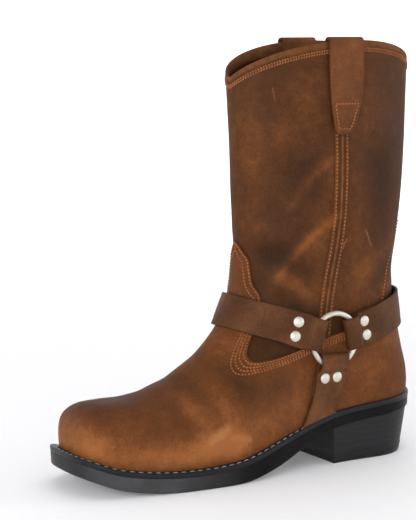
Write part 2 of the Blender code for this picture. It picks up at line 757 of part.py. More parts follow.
def side_strap(name, side):
    """The strap from a ring down to the welt."""
    sections = fold_sections(side, swept)
    last = fold_path()[-1][0]
    for i in (1, 2):
        low, high = [], []
        for share in ACROSS:
            w, end = share * STRAP_WIDE, last
            for _ in range(8):
                fwd, _z = swept(end, w)
                welt_top = float(sole("top", np.array([fwd]))[0])
                end = RING_AT[1] - welt_top - SIDE_STRAP_END
            out = last + (end - last) * i / 2
            low.append(lay(side, swept, out, w, LOW + ROUND_THE_BOOT - STRAP_THICK / 2))
            high.append(lay(side, swept, out, w, LOW + ROUND_THE_BOOT + STRAP_THICK / 2))
        sections.append(np.array(high + low[::-1]))
    return ribbon(name, sections, "strap_leather")


def ring(name, side):
    """A round steel ring that the three straps hold."""
    centre, toe, up, out = ring_frame(side)
    centre = centre + out * (RING_HIGH + RING_OFF)
    middle, turns, facets = RING_OUTER - RING_WIRE, 28, 6
    rings = []
    for i in range(turns):
        angle = 2 * math.pi * i / turns
        spoke = toe * math.cos(angle) + up * math.sin(angle)
        loop = []
        for j in range(facets):
            around = 2 * math.pi * (j + 0.5) / facets
            wide = middle + RING_WIRE * math.cos(around)
            loop.append(centre + spoke * wide + out * RING_WIRE * math.sin(around))
        rings.append(loop)
    return make_object(name, np.array(rings), ring_faces(turns, facets), "nickel")


def rivet(name, side, direction, out, across):
    """The domed head of a rivet, on a strap's doubled end."""
    high = DOUBLED + STRAP_THICK / 2 + RIVET_SEAT
    centre = lay(side, direction, out, across, high)
    ahead = lay(side, direction, out + 3, across, high) - lay(side, direction, out - 3, across, high)
    over = lay(side, direction, out, across + 3, high) - lay(side, direction, out, across - 3, high)
    away = np.cross(ahead, over)
    away *= np.sign(away[0]) * side / np.linalg.norm(away)
    ahead /= np.linalg.norm(ahead)
    over = np.cross(away, ahead)
    facets = 12
    rings = []
    for reach_out, rise in ((1.0, 0.0), (1.0, 0.35), (0.65, 1.0)):
        loop = []
        for j in range(facets):
            angle = 2 * math.pi * j / facets
            spoke = ahead * math.cos(angle) + over * math.sin(angle)
            loop.append(centre + spoke * RIVET_RADIUS * reach_out + away * RIVET_HIGH * rise)
        rings.append(loop)
    faces = ring_faces(len(rings), facets, closed=False)
    faces.append(tuple(range(facets))[::-1])
    faces.append(tuple(range(2 * facets, 3 * facets)))
    return make_object(name, np.array(rings), faces, "nickel")


def pull_strap(name, side):
    """A loop of leather over the collar, sewn down outside and in."""
    radius = WALL / 2 + SEAM_BEAD / 2 + 0.5 + PULL_THICK / 2
    middle = (SEAM_BEAD - WALL) / 2
    outer_h, inner_h = middle + radius, middle - radius
    on_strip = SEAM_BEAD + GAP + PULL_THICK / 2
    rows = (PULL_LOW, 250.0, 254.5, 261.0, 274.0, 292.0)
    path = [(z, on_strip) for z in rows] + [(308.0, outer_h)]
    for i in range(7):
        angle = math.pi * i / 6
        path.append((PULL_BEND + radius * math.sin(angle), middle + radius * math.cos(angle)))
    on_lining = -WALL - 2 * GAP - PULL_THICK / 2
    path += [(308.0, inner_h)] + [(z, on_lining) for z in rows[::-1]]
    path = np.array(path)
    ahead = np.gradient(path, axis=0)
    ahead /= np.linalg.norm(ahead, axis=1, keepdims=True)
    face = np.stack([-ahead[:, 1], ahead[:, 0]], axis=1) * PULL_THICK / 2
    line = column(PULL, PULL_COLUMNS, "z")
    sections = []
    for middle_at, step in zip(path, face, strict=True):
        wide = float(flow(line, column(PULL, PULL_COLUMNS, "wide"), middle_at[0]))
        fwd = float(flow(line, column(PULL, PULL_COLUMNS, "fwd"), middle_at[0]))
        row = []
        for turn in (1, -1):
            for share in ACROSS[::turn]:
                z, high = middle_at[0] + turn * step[0], middle_at[1] + turn * step[1]
                point, normal = skin(side, fwd + share * wide, min(z, 322.0))
                row.append(point + normal * high + np.array([0, 0, max(0.0, z - 322.0)]))
        sections.append(np.array(row))
    return ribbon(name, sections, "strap_leather")


def material(name, colour, roughness, metallic=0.0):
    made = bpy.data.materials.new(name)
    made.use_nodes = True
    shader = made.node_tree.nodes["Principled BSDF"]
    shader.inputs["Base Color"].default_value = (*colour, 1)
    shader.inputs["Roughness"].default_value = roughness
    shader.inputs["Metallic"].default_value = metallic
    return made


def clear_scene():
    for old in list(bpy.data.objects):
        bpy.data.objects.remove(old)


clear_scene()
MATERIALS = {
    "vamp_leather": material("vamp_leather", (0.19, 0.075, 0.025), 0.55),
    "strap_leather": material("strap_leather", (0.1, 0.045, 0.022), 0.5),
    "insole_leather": material("insole_leather", (0.3, 0.17, 0.08), 0.8),
    "black_welt": material("black_welt", (0.012, 0.012, 0.013), 0.5),
    "black_rubber": material("black_rubber", (0.014, 0.014, 0.015), 0.55),
    "black_stack": material("black_stack", (0.013, 0.013, 0.014), 0.5),
    "nickel": material("nickel", (0.62, 0.6, 0.56), 0.3, 1.0),
}

upper()
insole()
welt()
outsole()
heel()
long_strap("strap_front", FRONT_STRAP_ANGLE, FRONT_LINE_HIGH)
long_strap("strap_back", BACK_STRAP_ANGLE, BACK_LINE)
for SIDE, SIDE_NAME in ((LATERAL, "lateral"), (MEDIAL, "medial")):
    ring(f"ring_{SIDE_NAME}", SIDE)
    side_strap(f"strap_side_{SIDE_NAME}", SIDE)
    pull_strap(f"pull_strap_{SIDE_NAME}", SIDE)
    for STRAP, DIRECTION in (
        ("front", straight(FRONT_STRAP_ANGLE)),
        ("back", straight(BACK_STRAP_ANGLE)),
        ("side", swept),
    ):
        for NUMBER, ACROSS_AT in ((1, RIVET_APART / 2), (2, -RIVET_APART / 2)):
            rivet(f"rivet_{SIDE_NAME}_{STRAP}_{NUMBER}", SIDE, DIRECTION, RIVETS_OUT[STRAP], ACROSS_AT)
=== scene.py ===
# %% [markdown]
# # Left harness boot
# Oiled brown leather, square toe, black welted sole, stacked heel, nickel rings and rivets.
# Frame: +Z up, toe along -Y, outer side +X. Sizes are in millimetres until a mesh is made.

# %%
import math

import bpy
import numpy as np
from mathutils import Matrix, Vector


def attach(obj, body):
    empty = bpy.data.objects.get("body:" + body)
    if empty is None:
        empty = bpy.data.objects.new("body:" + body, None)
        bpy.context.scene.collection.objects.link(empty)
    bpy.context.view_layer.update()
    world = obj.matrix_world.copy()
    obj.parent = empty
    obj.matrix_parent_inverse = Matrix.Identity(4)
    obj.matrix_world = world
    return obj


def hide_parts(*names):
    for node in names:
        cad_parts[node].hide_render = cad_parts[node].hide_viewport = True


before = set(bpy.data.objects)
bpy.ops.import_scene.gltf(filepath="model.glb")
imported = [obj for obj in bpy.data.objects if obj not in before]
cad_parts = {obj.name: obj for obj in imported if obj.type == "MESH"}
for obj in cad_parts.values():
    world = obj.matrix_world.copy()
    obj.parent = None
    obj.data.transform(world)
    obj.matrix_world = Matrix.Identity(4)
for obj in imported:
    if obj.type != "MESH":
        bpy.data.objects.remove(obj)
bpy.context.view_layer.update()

# %%
MM = 0.001
LATERAL, MEDIAL = 1, -1
SIDE_NAMES = {LATERAL: "lateral", MEDIAL: "medial"}
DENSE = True
MASTER_ROWS, MASTER_COLUMNS = (230, 170) if DENSE else (120, 80)

# Sizes of the boot. fwd is the distance in front of the heel's middle
HEEL_BACK, TOE_FRONT = -41.8, 238.8
WALL = 2.2
OVERLAY = 1.4  # the vamp and counter over the shaft
WELT_THICK = 4.0
TOE_WIDER, TOE_HIGHER = 1.6, 1.6  # the sole at the very toe
HEEL_BREAST = 40.0
LIFT_THICK = 7.0
GAP, SEAT_GAP = 0.3, 0.5
LEG_MIDDLE = 30.0
STRAP_WIDE, STRAP_FOLD_WIDE, STRAP_THICK = 26.5, 24.0, 2.0
RING_AT = (43.7, 97.0)  # fwd and height
RING_OUTER, RING_WIRE = 21.5, 1.9
RIVETS_OUT = {"front": 34.0, "back": 28.6, "side": 28.6}
RIVET_APART = 10.9
RIVET_RADIUS, RIVET_HIGH = 4.0, 1.35
FRONT_STRAP_ANGLE, BACK_STRAP_ANGLE = 17.5, 167.5
SIDE_STRAP_SWEEP = 0.0036
PULL_THICK = 1.8
PULL_BEND = 315.6
SEAM_STRIP, SEAM_BEAD = 0.9, 1.6
FOOT_TO_LEG = (45.0, 128.0)
TUCK, TUCK_HIGH = 0.055, 14.0
CARRIED_ON = 60.0
COLLAR_DIP = (289.5, 298.5)
COLLAR_SIDE = 316.0
COLLAR_ROUND = 1.1
HEEL_HIGH, HEEL_TAPER = 30.0, 0.05
HEEL_LEAN = (6.2, 7.2)  # how far the foot of the heel comes forward at the back, and less of it at the breast
FULL_WELT = 4.2  # where the welt is narrower than this, so are its steps
STRAP_FLAT = 0.47  # half of a strap's width that is flat, as a share of the width
THREAD_LIFT, THREAD_ON_STRAP = 0.12, 0.1

# %% [markdown]
# ## Shape tables, as in the CAD source

# %%
SOLE_COLUMNS = ("fwd", "lateral", "medial", "welt", "bottom", "top")
SOLE = (
    (-60, 32.0, 32.0, 2.2, 36.5, 48.2),
    (-45, 33.0, 33.0, 2.2, 35.5, 47.2),
    (-10, 34.5, 34.5, 2.2, 33.0, 44.8),
    (20, 34.5, 34.0, 2.4, 30.5, 42.3),
    (40, 35.5, 32.5, 2.8, 27.8, 39.8),
    (65, 39.0, 30.5, 3.6, 19.5, 34.2),
    (95, 44.5, 32.5, 4.6, 7.5, 25.5),
    (120, 48.0, 38.0, 5.4, 1.2, 18.2),
    (140, 49.0, 43.0, 5.8, 0.0, 15.3),
    (170, 48.0, 45.5, 5.8, 0.0, 14.8),
    (195, 44.5, 44.0, 5.8, 1.2, 16.2),
    (220, 39.0, 40.5, 5.8, 5.4, 20.0),
    (245, 34.0, 37.0, 5.8, 12.6, 26.8),
    (270, 30.0, 34.0, 5.8, 21.0, 35.0),
)
# fwd; height; depth of the rounding; its squareness; height on the back line of the same row
FRONT = (
    (238.6, 22.6, 25, 2.8, 43.7),
    (239.4, 32.2, 25, 2.8, 47.0),
    (239.0, 42.2, 25, 2.8, 51.0),
    (236.0, 51.4, 26, 2.7, 54.5),
    (226.8, 57.8, 27, 2.6, 57.5),
    (210.4, 59.8, 28, 2.4, 61.5),
    (190.4, 60.6, 32, 2.2, 66.0),
    (169.6, 65.4, 38, 2.1, 71.0),
    (149.6, 75.2, 44, 2.0, 78.5),
    (131.7, 88.6, 49, 2.0, 87.0),
    (118.2, 103.1, 53, 2.0, 96.5),
    (109.1, 120.0, 56, 2.0, 107.5),
    (104.2, 137.0, 60, 2.0, 122.5),
    (102.0, 158.0, 66, 2.0, 145.0),
    (102.6, 180.0, 70, 2.0, 171.0),
    (104.0, 205.0, 72, 2.0, 201.0),
    (104.8, 244.0, 73, 2.0, 245.0),
    (107.0, 278.0, 74, 2.0, 285.0),
    (108.0, 289.5, 74, 2.0, 298.5),
)
BACK = (
    (-41.4, 40.0, 35, 2.1),
    (-42.4, 52.0, 35, 2.1),
    (-41.4, 66.0, 36, 2.1),
    (-38.2, 82.0, 40, 2.0),
    (-35.0, 98.0, 46, 2.0),
    (-31.8, 116.0, 52, 2.0),
    (-31.8, 134.0, 58, 2.0),
    (-34.0, 156.0, 64, 2.0),
    (-39.0, 190.0, 70, 2.0),
    (-43.4, 235.0, 74, 2.0),
    (-45.6, 270.0, 77, 2.0),
    (-47.2, 298.5, 79, 2.0),
    (-48.6, 325.0, 80, 2.0),
)
SHAFT_TOP = (109.2, 325.0, 75, 2.0, 330.0)
LEG_COLUMNS = ("z", "lateral", "medial")
LEG = (
    (40, 36.5, 35.0),
    (97, 37.2, 35.4),
    (125, 36.8, 35.4),
    (150, 37.4, 36.4),
    (200, 40.0, 39.4),
    (250, 38.6, 38.6),
    (300, 34.6, 34.6),
    (330, 33.0, 33.0),
)
# Edge of the vamp and counter: distance round from the front line, and height
EDGE = (
    (0, 170.0),
    (4, 167.5),
    (9, 162.0),
    (13.5, 156.5),
    (15.5, 148.0),
    (17, 142.0),
    (21, 136.0),
    (25.5, 130.0),
    (28.5, 118.0),
    (30.5, 103.0),
    (34, 93.0),
    (41, 86.5),
    (50, 84.0),
    (60, 85.5),
    (72, 89.6),
    (87, 96.3),
    (103, 101.3),
    (124, 106.0),
    (150, 112.0),
    (170, 114.0),
)
# Height and fwd of the side seam
SIDE_SEAM = (
    (40, 51.0),
    (97, 49.5),
    (127, 46.0),
    (146, 42.7),
    (164, 39.3),
    (185, 37.0),
    (211, 35.4),
    (330, 34.0),
)
# Height, fwd and width of the pull straps
PULL = (
    (248, 35.0, 7.0),
    (250, 34.0, 13.0),
    (255, 33.0, 18.0),
    (262, 31.9, 22.0),
    (275, 30.2, 27.6),
    (303, 28.6, 30.4),
    (330, 28.4, 30.4),
)
# Creases of the leather. Side, 0 for both; fwd and height of both ends; half width; height, less than 0 for a
# trough
FOLDS = (
    (0, 92, 137, 66, 116, 6.5, -0.9),
    (0, 95, 150, 62, 128, 7.5, 0.8),
    (0, 97, 166, 58, 140, 7.0, -0.75),
    (0, 99, 182, 70, 163, 8.0, 0.45),
    (0, -28, 148, 4, 134, 8.0, -0.7),
    (0, -30, 132, -4, 124, 6.0, 0.5),
    (0, -32, 166, 2, 152, 9.0, 0.5),
    (LATERAL, 88, 133, 37, 190, 3.6, 1.3),
    (LATERAL, 92, 146, 50, 186, 7.0, -0.5),
    (LATERAL, 74, 196, 42, 231, 4.0, 1.1),
    (LATERAL, 80, 226, 46, 205, 12.0, -0.6),
    (LATERAL, 70, 262, 92, 236, 14.0, 0.5),
    (LATERAL, -10, 205, 14, 238, 14.0, -0.5),
    (LATERAL, -20, 262, 6, 250, 16.0, 0.5),
    (MEDIAL, 84, 140, 40, 186, 6.0, 0.5),
    (MEDIAL, 78, 230, 44, 208, 13.0, -0.6),
    (MEDIAL, -14, 230, 12, 206, 14.0, 0.5),
    (0, 178, 62, 168, 38, 5.0, -0.45),
    (0, 167, 66, 156, 42, 5.0, 0.35),
    (0, 157, 71, 144, 44, 5.5, -0.5),
    (0, 146, 77, 132, 46, 6.0, 0.35),
    (0, 134, 86, 112, 52, 6.5, -0.5),
    (0, 120, 98, 98, 66, 7.0, 0.4),
)
# The soft tones are partly the leather's own uneven colour and partly painted highlights and painted shade:
# darker on top of the foot, lighter on its low sides.
# Soft tones. Side, 0 for both; fwd; height; reach along each; amount, positive for lighter and warmer
TONES = (
    (0, 230, 60, 12, 7, -0.6),
    (0, 200, 66, 26, 8, -0.5),
    (0, 165, 74, 26, 10, -0.5),
    (0, 236, 34, 6, 12, 0.5),
    (LATERAL, 232, 36, 9, 10, 0.75),
    (LATERAL, 205, 26, 22, 9, 0.45),
    (LATERAL, 150, 52, 34, 9, 0.3),
    (LATERAL, -30, 190, 12, 70, -0.35),
    (LATERAL, 165, 24, 24, 10, 0.65),
    (LATERAL, 147, 33, 13, 7, 0.75),
    (LATERAL, 132, 30, 12, 12, 0.8),
    (LATERAL, 108, 42, 14, 12, 0.45),
    (LATERAL, 178, 44, 22, 9, -0.35),
    (LATERAL, 118, 70, 20, 14, -0.3),
    (LATERAL, 80, 52, 14, 16, 0.3),
    (LATERAL, 92, 66, 12, 8, -0.35),
    (LATERAL, 8, 72, 20, 16, 0.35),
    (LATERAL, -12, 96, 16, 12, 0.4),
    (LATERAL, -34, 60, 12, 20, -0.3),
    (LATERAL, 34, 76, 12, 18, 0.35),
    (LATERAL, 100, 140, 6, 16, -0.3),
    (LATERAL, 66, 205, 20, 34, -0.35),
    (LATERAL, 84, 158, 16, 20, -0.35),
    (LATERAL, 98, 215, 6, 60, 0.25),
    (LATERAL, 96, 150, 10, 26, -0.35),
    (LATERAL, 88, 262, 22, 22, -0.1),
    (LATERAL, 58, 274, 16, 20, 0.2),
    (LATERAL, 160, 30, 50, 14, 0.4),
    (LATERAL, 56, 168, 12, 24, 0.4),
    (LATERAL, 60, 134, 22, 9, 0.45),
    (LATERAL, 40, 212, 10, 16, 0.35),
    (LATERAL, 18, 190, 9, 60, 0.25),
    (LATERAL, -6, 205, 14, 50, -0.45),
    (LATERAL, -20, 262, 20, 30, -0.25),
    (LATERAL, 10, 146, 16, 12, 0.3),
    (LATERAL, 60, 300, 34, 9, -0.25),
    (MEDIAL, 205, 28, 40, 10, 0.6),
    (MEDIAL, 130, 30, 24, 12, 0.55),
    (MEDIAL, 178, 46, 22, 9, -0.3),
    (MEDIAL, 60, 200, 34, 46, -0.3),
    (MEDIAL, 58, 168, 12, 24, 0.5),
    (MEDIAL, 0, 220, 30, 60, -0.3),
    (MEDIAL, 66, 262, 20, 24, 0.35),
    (MEDIAL, 4, 74, 22, 16, 0.55),
)
# Ridges are lighter and troughs darker: a painted highlight and painted shade on the creases, over the
# leather's lighter colour where it is stretched
TONE_OF_FOLD = 0.6  # how much lighter the leather is on a ridge, for each millimetre

# %% [markdown]
# ## The boot's surface

# %%
def flow(xs, ys, x):
    """A smooth curve through the points (xs, ys), without overshoot."""
    step, rise = np.diff(xs), np.diff(ys)
    slope = rise / step
    tangent = np.concatenate([slope[:1], (slope[:-1] + slope[1:]) / 2, slope[-1:]])
    flat = slope[:-1] * slope[1:] <= 0
    tangent[1:-1][flat] = 0
    x = np.clip(x, xs[0], xs[-1])
    i = np.clip(np.searchsorted(xs, x, side="right") - 1, 0, len(step) - 1)
    t = (x - xs[i]) / step[i]
    rest = 1 - t
    return (
        ys[i] * (1 + 2 * t) * rest**2
        + ys[i + 1] * t**2 * (3 - 2 * t)
        + step[i] * t * rest * (tangent[i] * rest - tangent[i + 1] * t)
    )


def unit(vectors):
    return vectors / np.linalg.norm(vectors, axis=-1, keepdims=True)


def run_length(points):
    """How far along a line of points each of them is."""
    return np.concatenate([[0], np.cumsum(np.linalg.norm(np.diff(points, axis=0), axis=1))])


def along_line(at, length, points):
    """The points at some distances along a line."""
    return np.stack([np.interp(at, length, values) for values in points.T], axis=1)


def averaged(values, axis=0):
    """Each value of a closed row averaged with its neighbours."""
    return (np.roll(values, 1, axis) + 2 * values + np.roll(values, -1, axis)) / 4


def table_flow(table, column, x):
    """A column of a table as a smooth function of its first column."""
    rows = np.array(table, float)
    return flow(rows[:, 0], rows[:, column], x)


def smooth_step(x, low, high):
    t = np.clip((x - low) / (high - low), 0, 1)
    return t * t * (3 - 2 * t)


def sole(name, fwd):
    return table_flow(SOLE, SOLE_COLUMNS.index(name), fwd)


def floor_of_upper(fwd):
    return sole("top", fwd) - WELT_THICK + SEAT_GAP


def profile_line(table, samples=180):
    """The rows of a side-view table as a dense smooth line, with its length."""
    rows = np.array(table, float)
    along = np.concatenate([[0], np.cumsum(np.hypot(*np.diff(rows[:, :2], axis=0).T))])
    at = np.linspace(0, along[-1], samples)
    return at, np.stack([flow(along, rows[:, i], at) for i in range(rows.shape[1])], axis=1)


FRONT_AT, FRONT_LINE = profile_line(FRONT)
_, FRONT_LINE_HIGH = profile_line(FRONT + (SHAFT_TOP,))
_, BACK_LINE = profile_line(BACK)


def longer(line):
    """A side-view line carried straight on at both ends."""
    ends = []
    for end, before in ((0, 1), (-1, -2)):
        added = line[end].copy()
        added[:2] += unit(line[end, :2] - line[before, :2]) * CARRIED_ON
        ends.append(added)
    return np.concatenate([[ends[0]], line, [ends[1]]])


def rounding(fwd, z, line):
    """How full the section is: 0 on the line, 1 where its rounding ends, and negative outside the line."""
    line = longer(line)
    start, run = line[:-1, :2], np.diff(line[:, :2], axis=0)
    length = np.linalg.norm(run, axis=1)
    way = run / length[:, None]
    across = np.stack([way[:, 1], -way[:, 0]])
    leg_side = np.sign(LEG_MIDDLE - line[-1, 0])
    mean = (line[:-1, 2:4] + line[1:, 2:4]) / 2

    def total(s, aside):
        square = aside * aside + s * s
        near = s / (4 * aside**2 * square * square) + 3 * s / (8 * aside**4 * square)
        return near + 3 * np.arctan(s / aside) / (8 * aside**5)

    def part(place):
        along = place @ way.T - (start * way).sum(axis=1)
        aside = place @ across - (start * across.T).sum(axis=1)
        beyond = np.maximum(np.maximum(-along, along - length), 0)
        sign, aside = np.sign(aside) * leg_side, np.maximum(np.abs(aside), 0.02 + 0.1 * beyond)
        pull = np.maximum(total(along, aside) - total(along - length, aside), 1e-30)
        everything = pull.sum(axis=1)
        depth = (everything / (3 * math.pi / 8)) ** -0.2
        deep, square = (pull @ mean / everything[:, None]).T
        short = 1 - np.clip(depth / deep, 0, 1)
        return np.sign((pull * sign).sum(axis=1)) * (1 - short**square) ** (1 / square)

    places = np.stack([fwd.ravel(), z.ravel()], axis=1)
    parts = [part(places[i : i + 6000]) for i in range(0, len(places), 6000)]
    return np.concatenate(parts).reshape(fwd.shape)


def square_of_width(side, fwd, z):
    name = SIDE_NAMES[side]
    foot = sole(name, fwd)
    leg = table_flow(LEG, LEG_COLUMNS.index(name), z)
    above = np.clip(1 - (z - floor_of_upper(fwd)) / TUCK_HIGH, 0, 1)
    side_width = foot + (leg - foot) * smooth_step(z, *FOOT_TO_LEG)
    side_width = side_width * (1 - TUCK * above**2)
    front, back = rounding(fwd, z, FRONT_LINE_HIGH), rounding(fwd, z, BACK_LINE)
    return side_width**2 * front * np.abs(front) * back * np.abs(back)


def skin(side, fwd, z):
    """Points of the shaft leather's outer face and its outward normals, as x, fwd, z."""
    fwd, z = np.broadcast_arrays(np.asarray(fwd, float), np.asarray(z, float))
    wide = np.sqrt(np.maximum(square_of_width(side, fwd, z), 0))
    reach = 0.6
    slope_f = square_of_width(side, fwd + reach, z) - square_of_width(side, fwd - reach, z)
    slope_z = square_of_width(side, fwd, z + reach) - square_of_width(side, fwd, z - reach)
    normal = np.stack([side * 2 * wide, -slope_f / (2 * reach), -slope_z / (2 * reach)], axis=-1)
    return np.stack([side * wide, fwd, z], axis=-1), unit(normal)


def side_view(height, places):
    """fwd and z of points at shares of the height, 0 sole to 1 collar, and of the way from back to front."""
    at = np.clip(height, 0, 1) * FRONT_AT[-1]
    front_f, front_z, _, _, heel_z = (np.interp(at, FRONT_AT, FRONT_LINE[:, i]) for i in range(5))
    back_f = np.interp(heel_z, BACK_LINE[:, 1], BACK_LINE[:, 0])
    fwd = back_f + (front_f - back_f) * places
    z = heel_z + (front_z - heel_z) * places
    at_sole = HEEL_BACK + (TOE_FRONT - HEEL_BACK) * places
    ends = floor_of_upper(np.array([HEEL_BACK, TOE_FRONT]))
    straight = ends[0] + places * (ends[1] - ends[0])
    z += (floor_of_upper(at_sole) - straight) * np.clip(1 - height / 0.3, 0, 1) ** 2
    swell = np.clip(4 * places * (1 - places), 0, 1) ** (COLLAR_ROUND / 2)
    z += (COLLAR_SIDE - sum(COLLAR_DIP) / 2) * swell * np.clip((height - 0.72) / 0.28, 0, 1) ** 1.5
    return fwd, z


def line_share(fwd, z, ends):
    """Distance of points from a piece of line in the side view, and how far along it they are."""
    fwd0, z0, fwd1, z1 = ends
    way = np.array([fwd1 - fwd0, z1 - z0], float)
    along = ((fwd - fwd0) * way[0] + (z - z0) * way[1]) / (way @ way)
    held = np.clip(along, 0, 1)
    return np.hypot(fwd - fwd0 - held * way[0], z - z0 - held * way[1]), held


def folded(side, fwd, z):
    """Height of the creases and of a gentle unevenness at points of the side view."""
    total = 0.22 * np.sin(fwd * 0.061 + side) * np.sin(z * 0.047 + 1.7 * side)
    for of_side, fwd0, z0, fwd1, z1, wide, high in FOLDS:
        if of_side in (0, side):
            bow = 0.12 * np.hypot(fwd1 - fwd0, z1 - z0)
            _, held = line_share(fwd, z, (fwd0, z0, fwd1, z1))
            far, held = line_share(fwd, z - bow * np.sin(math.pi * held), (fwd0, z0, fwd1, z1))
            fade = np.sin(math.pi * np.clip(held * 0.8 + 0.1, 0, 1)) ** 0.7
            total = total + high * fade * np.exp(-((far / wide) ** 2))
    return total


def toned(side, fwd, z):
    """How much lighter or darker the leather is at points of the side view."""
    total = TONE_OF_FOLD * folded(side, fwd, z)
    for of_side, fwd0, z0, reach_f, reach_z, amount in TONES:
        if of_side in (0, side):
            total = total + amount * np.exp(-(((fwd - fwd0) / reach_f) ** 2) - ((z - z0) / reach_z) ** 2)
    return total


def grid_normals(points):
    """Outward normals of rings of points that run from the back, along the lateral side, to the toe."""
    around = np.roll(points, -1, axis=1) - np.roll(points, 1, axis=1)
    up = np.gradient(points, axis=0)
    normal = np.cross(around, up)
    for _ in range(4):
        normal = averaged(normal, 1)
        normal[1:-1] = (normal[:-2] + 2 * normal[1:-1] + normal[2:]) / 4
    return normal / np.maximum(np.linalg.norm(normal, axis=2, keepdims=True), 1e-9)


def as_ring(lateral, medial):
    return np.concatenate([lateral, medial[:, -2:0:-1]], axis=1)


def as_sides(ring):
    half = ring.shape[1] // 2
    medial = np.concatenate([ring[:, :1], ring[:, : half - 1 : -1]], axis=1)
    return {LATERAL: ring[:, : half + 1], MEDIAL: medial}


def alike_at_ends(sides, blend):
    """Values of both sides, brought to their mean where the sides meet."""
    mean = sum(sides) / 2
    return [mean + (one - mean) * blend for one in sides]


def master():
    """A fine grid over the shaft leather's outer face, creases included, rows by columns for each side."""
    places = 0.5 - 0.5 * np.cos(math.pi * np.linspace(0, 1, MASTER_COLUMNS + 1))
    share = np.linspace(0, 1, MASTER_ROWS + 1)
    height, place = np.meshgrid(share, places, indexing="ij")
    fwd, z = side_view(height, place)
    sides, tones = [], []
    for side in (LATERAL, MEDIAL):
        wide = np.sqrt(np.maximum(square_of_width(side, fwd, z), 0))
        wide[:, 0] = wide[:, -1] = 0
        sides.append(np.stack([side * wide, fwd, z], axis=2))
        tones.append(toned(side, fwd, z))
    ring = as_ring(*sides)
    near, last = MASTER_COLUMNS - 5, MASTER_COLUMNS + 6
    for _ in range(4):
        beside = ring[:, near - 1 : last - 1] + ring[:, near + 1 : last + 1]
        ring[:, near:last] = (2 * ring[:, near:last] + beside) / 4
    normal = grid_normals(ring)
    calm = smooth_step(share, 0.0, 0.12) * (1 - 0.6 * smooth_step(share, 0.9, 1.0))
    blend = smooth_step(np.minimum(place, 1 - place), 0.0, 0.06)
    creases = alike_at_ends([folded(side, fwd, z) * calm[:, None] for side in (LATERAL, MEDIAL)], blend)
    ring = ring + normal * as_ring(*creases)[..., None]
    points, normals = as_sides(ring), as_sides(grid_normals(ring))
    grids = {}
    for side, tone in zip((LATERAL, MEDIAL), alike_at_ends(tones, blend), strict=True):
        steps = np.linalg.norm(np.diff(points[side], axis=1), axis=2)
        around = np.zeros(points[side].shape[:2])
        around[:, :-1] = np.cumsum(steps[:, ::-1], axis=1)[:, ::-1]
        grid = {"point": points[side], "normal": normals[side], "tone": tone[..., None]}
        grids[side] = {**grid, "around": around, "z": z}
    return grids


BOOT = master()
COLUMNS = np.arange(MASTER_COLUMNS + 1)


def sample(side, name, row, column):
    """A value of the master grid between its rows and columns."""
    grid = BOOT[side][name]
    row = np.clip(row, 0, MASTER_ROWS - 1e-6)
    column = np.clip(column, 0, MASTER_COLUMNS - 1e-6)
    r, c = row.astype(int), column.astype(int)
    s, t = (row - r)[..., None], (column - c)[..., None]
    low = grid[r, c] * (1 - t) + grid[r, c + 1] * t
    return low * (1 - s) + (grid[r + 1, c] * (1 - t) + grid[r + 1, c + 1] * t) * s


def raised(side, row, column, high):
    """Points that stand up from the master grid, and the normals there."""
    normal = unit(sample(side, "normal", row, column))
    return sample(side, "point", row, column) + normal * np.asarray(high)[..., None], normal


def over_skin(side, fwd, z, high):
    """Points over the creased shaft leather, from the side view, and its normals there."""
    point, normal = skin(side, fwd, z)
    return point + normal * (high + folded(side, fwd, z))[..., None], normal


def place_of(side, around, z):
    """Row and column of points given by their distance round from the front line and their height."""
    grid = BOOT[side]
    rows = np.arange(MASTER_ROWS + 1)
    at_row = np.stack([np.interp(z, grid["z"][:, c], rows) for c in COLUMNS], axis=1)
    at_around = np.stack([np.interp(at_row[:, c], rows, grid["around"][:, c]) for c in COLUMNS], axis=1)
    placed = [np.interp(a, way[::-1], COLUMNS[::-1]) for a, way in zip(around, at_around, strict=True)]
    row = [np.interp(column, COLUMNS, way) for column, way in zip(placed, at_row, strict=True)]
    return np.array(row), np.array(placed)


def edge_rows(side):
    """The master row at which each column crosses the edge of the vamp."""
    grid = BOOT[side]
    over = grid["z"] - table_flow(EDGE, 1, grid["around"])
    first = (over > 0).argmax(axis=0)
    below, above = over[first - 1, COLUMNS], over[first, COLUMNS]
    return first - 1 + below / (below - above)


# %% [markdown]
# ## Mesh and node helpers

# %%
def add_object(name, mesh):
    made = bpy.data.objects.new(name, mesh)
    bpy.context.scene.collection.objects.link(made)
    return made


def grid_faces(rows, size, around=True, along=False):
    """Quads of a grid of rows of points, closed around each row, or along the rows, where asked."""
    i = np.arange(rows if along else rows - 1)[:, None]
    j = np.arange(size if around else size - 1)[None, :]
    k, above = (j + 1) % size, (i + 1) % rows
    return np.stack([i * size + j, i * size + k, above * size + k, above * size + j], axis=-1).reshape(-1, 4)


def smooth_mesh(name, points, faces, material):
    mesh = bpy.data.meshes.new(name)
    mesh.from_pydata(points.tolist(), [], [tuple(int(i) for i in face) for face in faces])
    mesh.update()
    mesh.materials.append(material)
    mesh.shade_smooth()
    return mesh


def piece(name, points, faces, material, nodes=(), values=None):
    """A visible piece of the boot, from points given as x, fwd, z in millimetres."""
    points = np.asarray(points, float).reshape(-1, 3) * (MM, -MM, MM)
    mesh = smooth_mesh(name, points, faces, material)
    corners = np.empty(len(mesh.loop_triangles) * 3, np.int32)
    mesh.loop_triangles.foreach_get("vertices", corners)
    a, b, c = points[corners.reshape(-1, 3)].transpose(1, 0, 2)
    if (a * np.cross(b, c)).sum() < 0:
        mesh.flip_normals()
    for key, value in (values or {}).items():
        layer = mesh.attributes.new(key, "FLOAT", "POINT")
        layer.data.foreach_set("value", np.asarray(value, np.float32).ravel())
    return rides(add_object(name, mesh), nodes)


def rides(made, nodes=()):
    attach(made, "root")
    if nodes:
        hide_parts(*nodes)
    return made


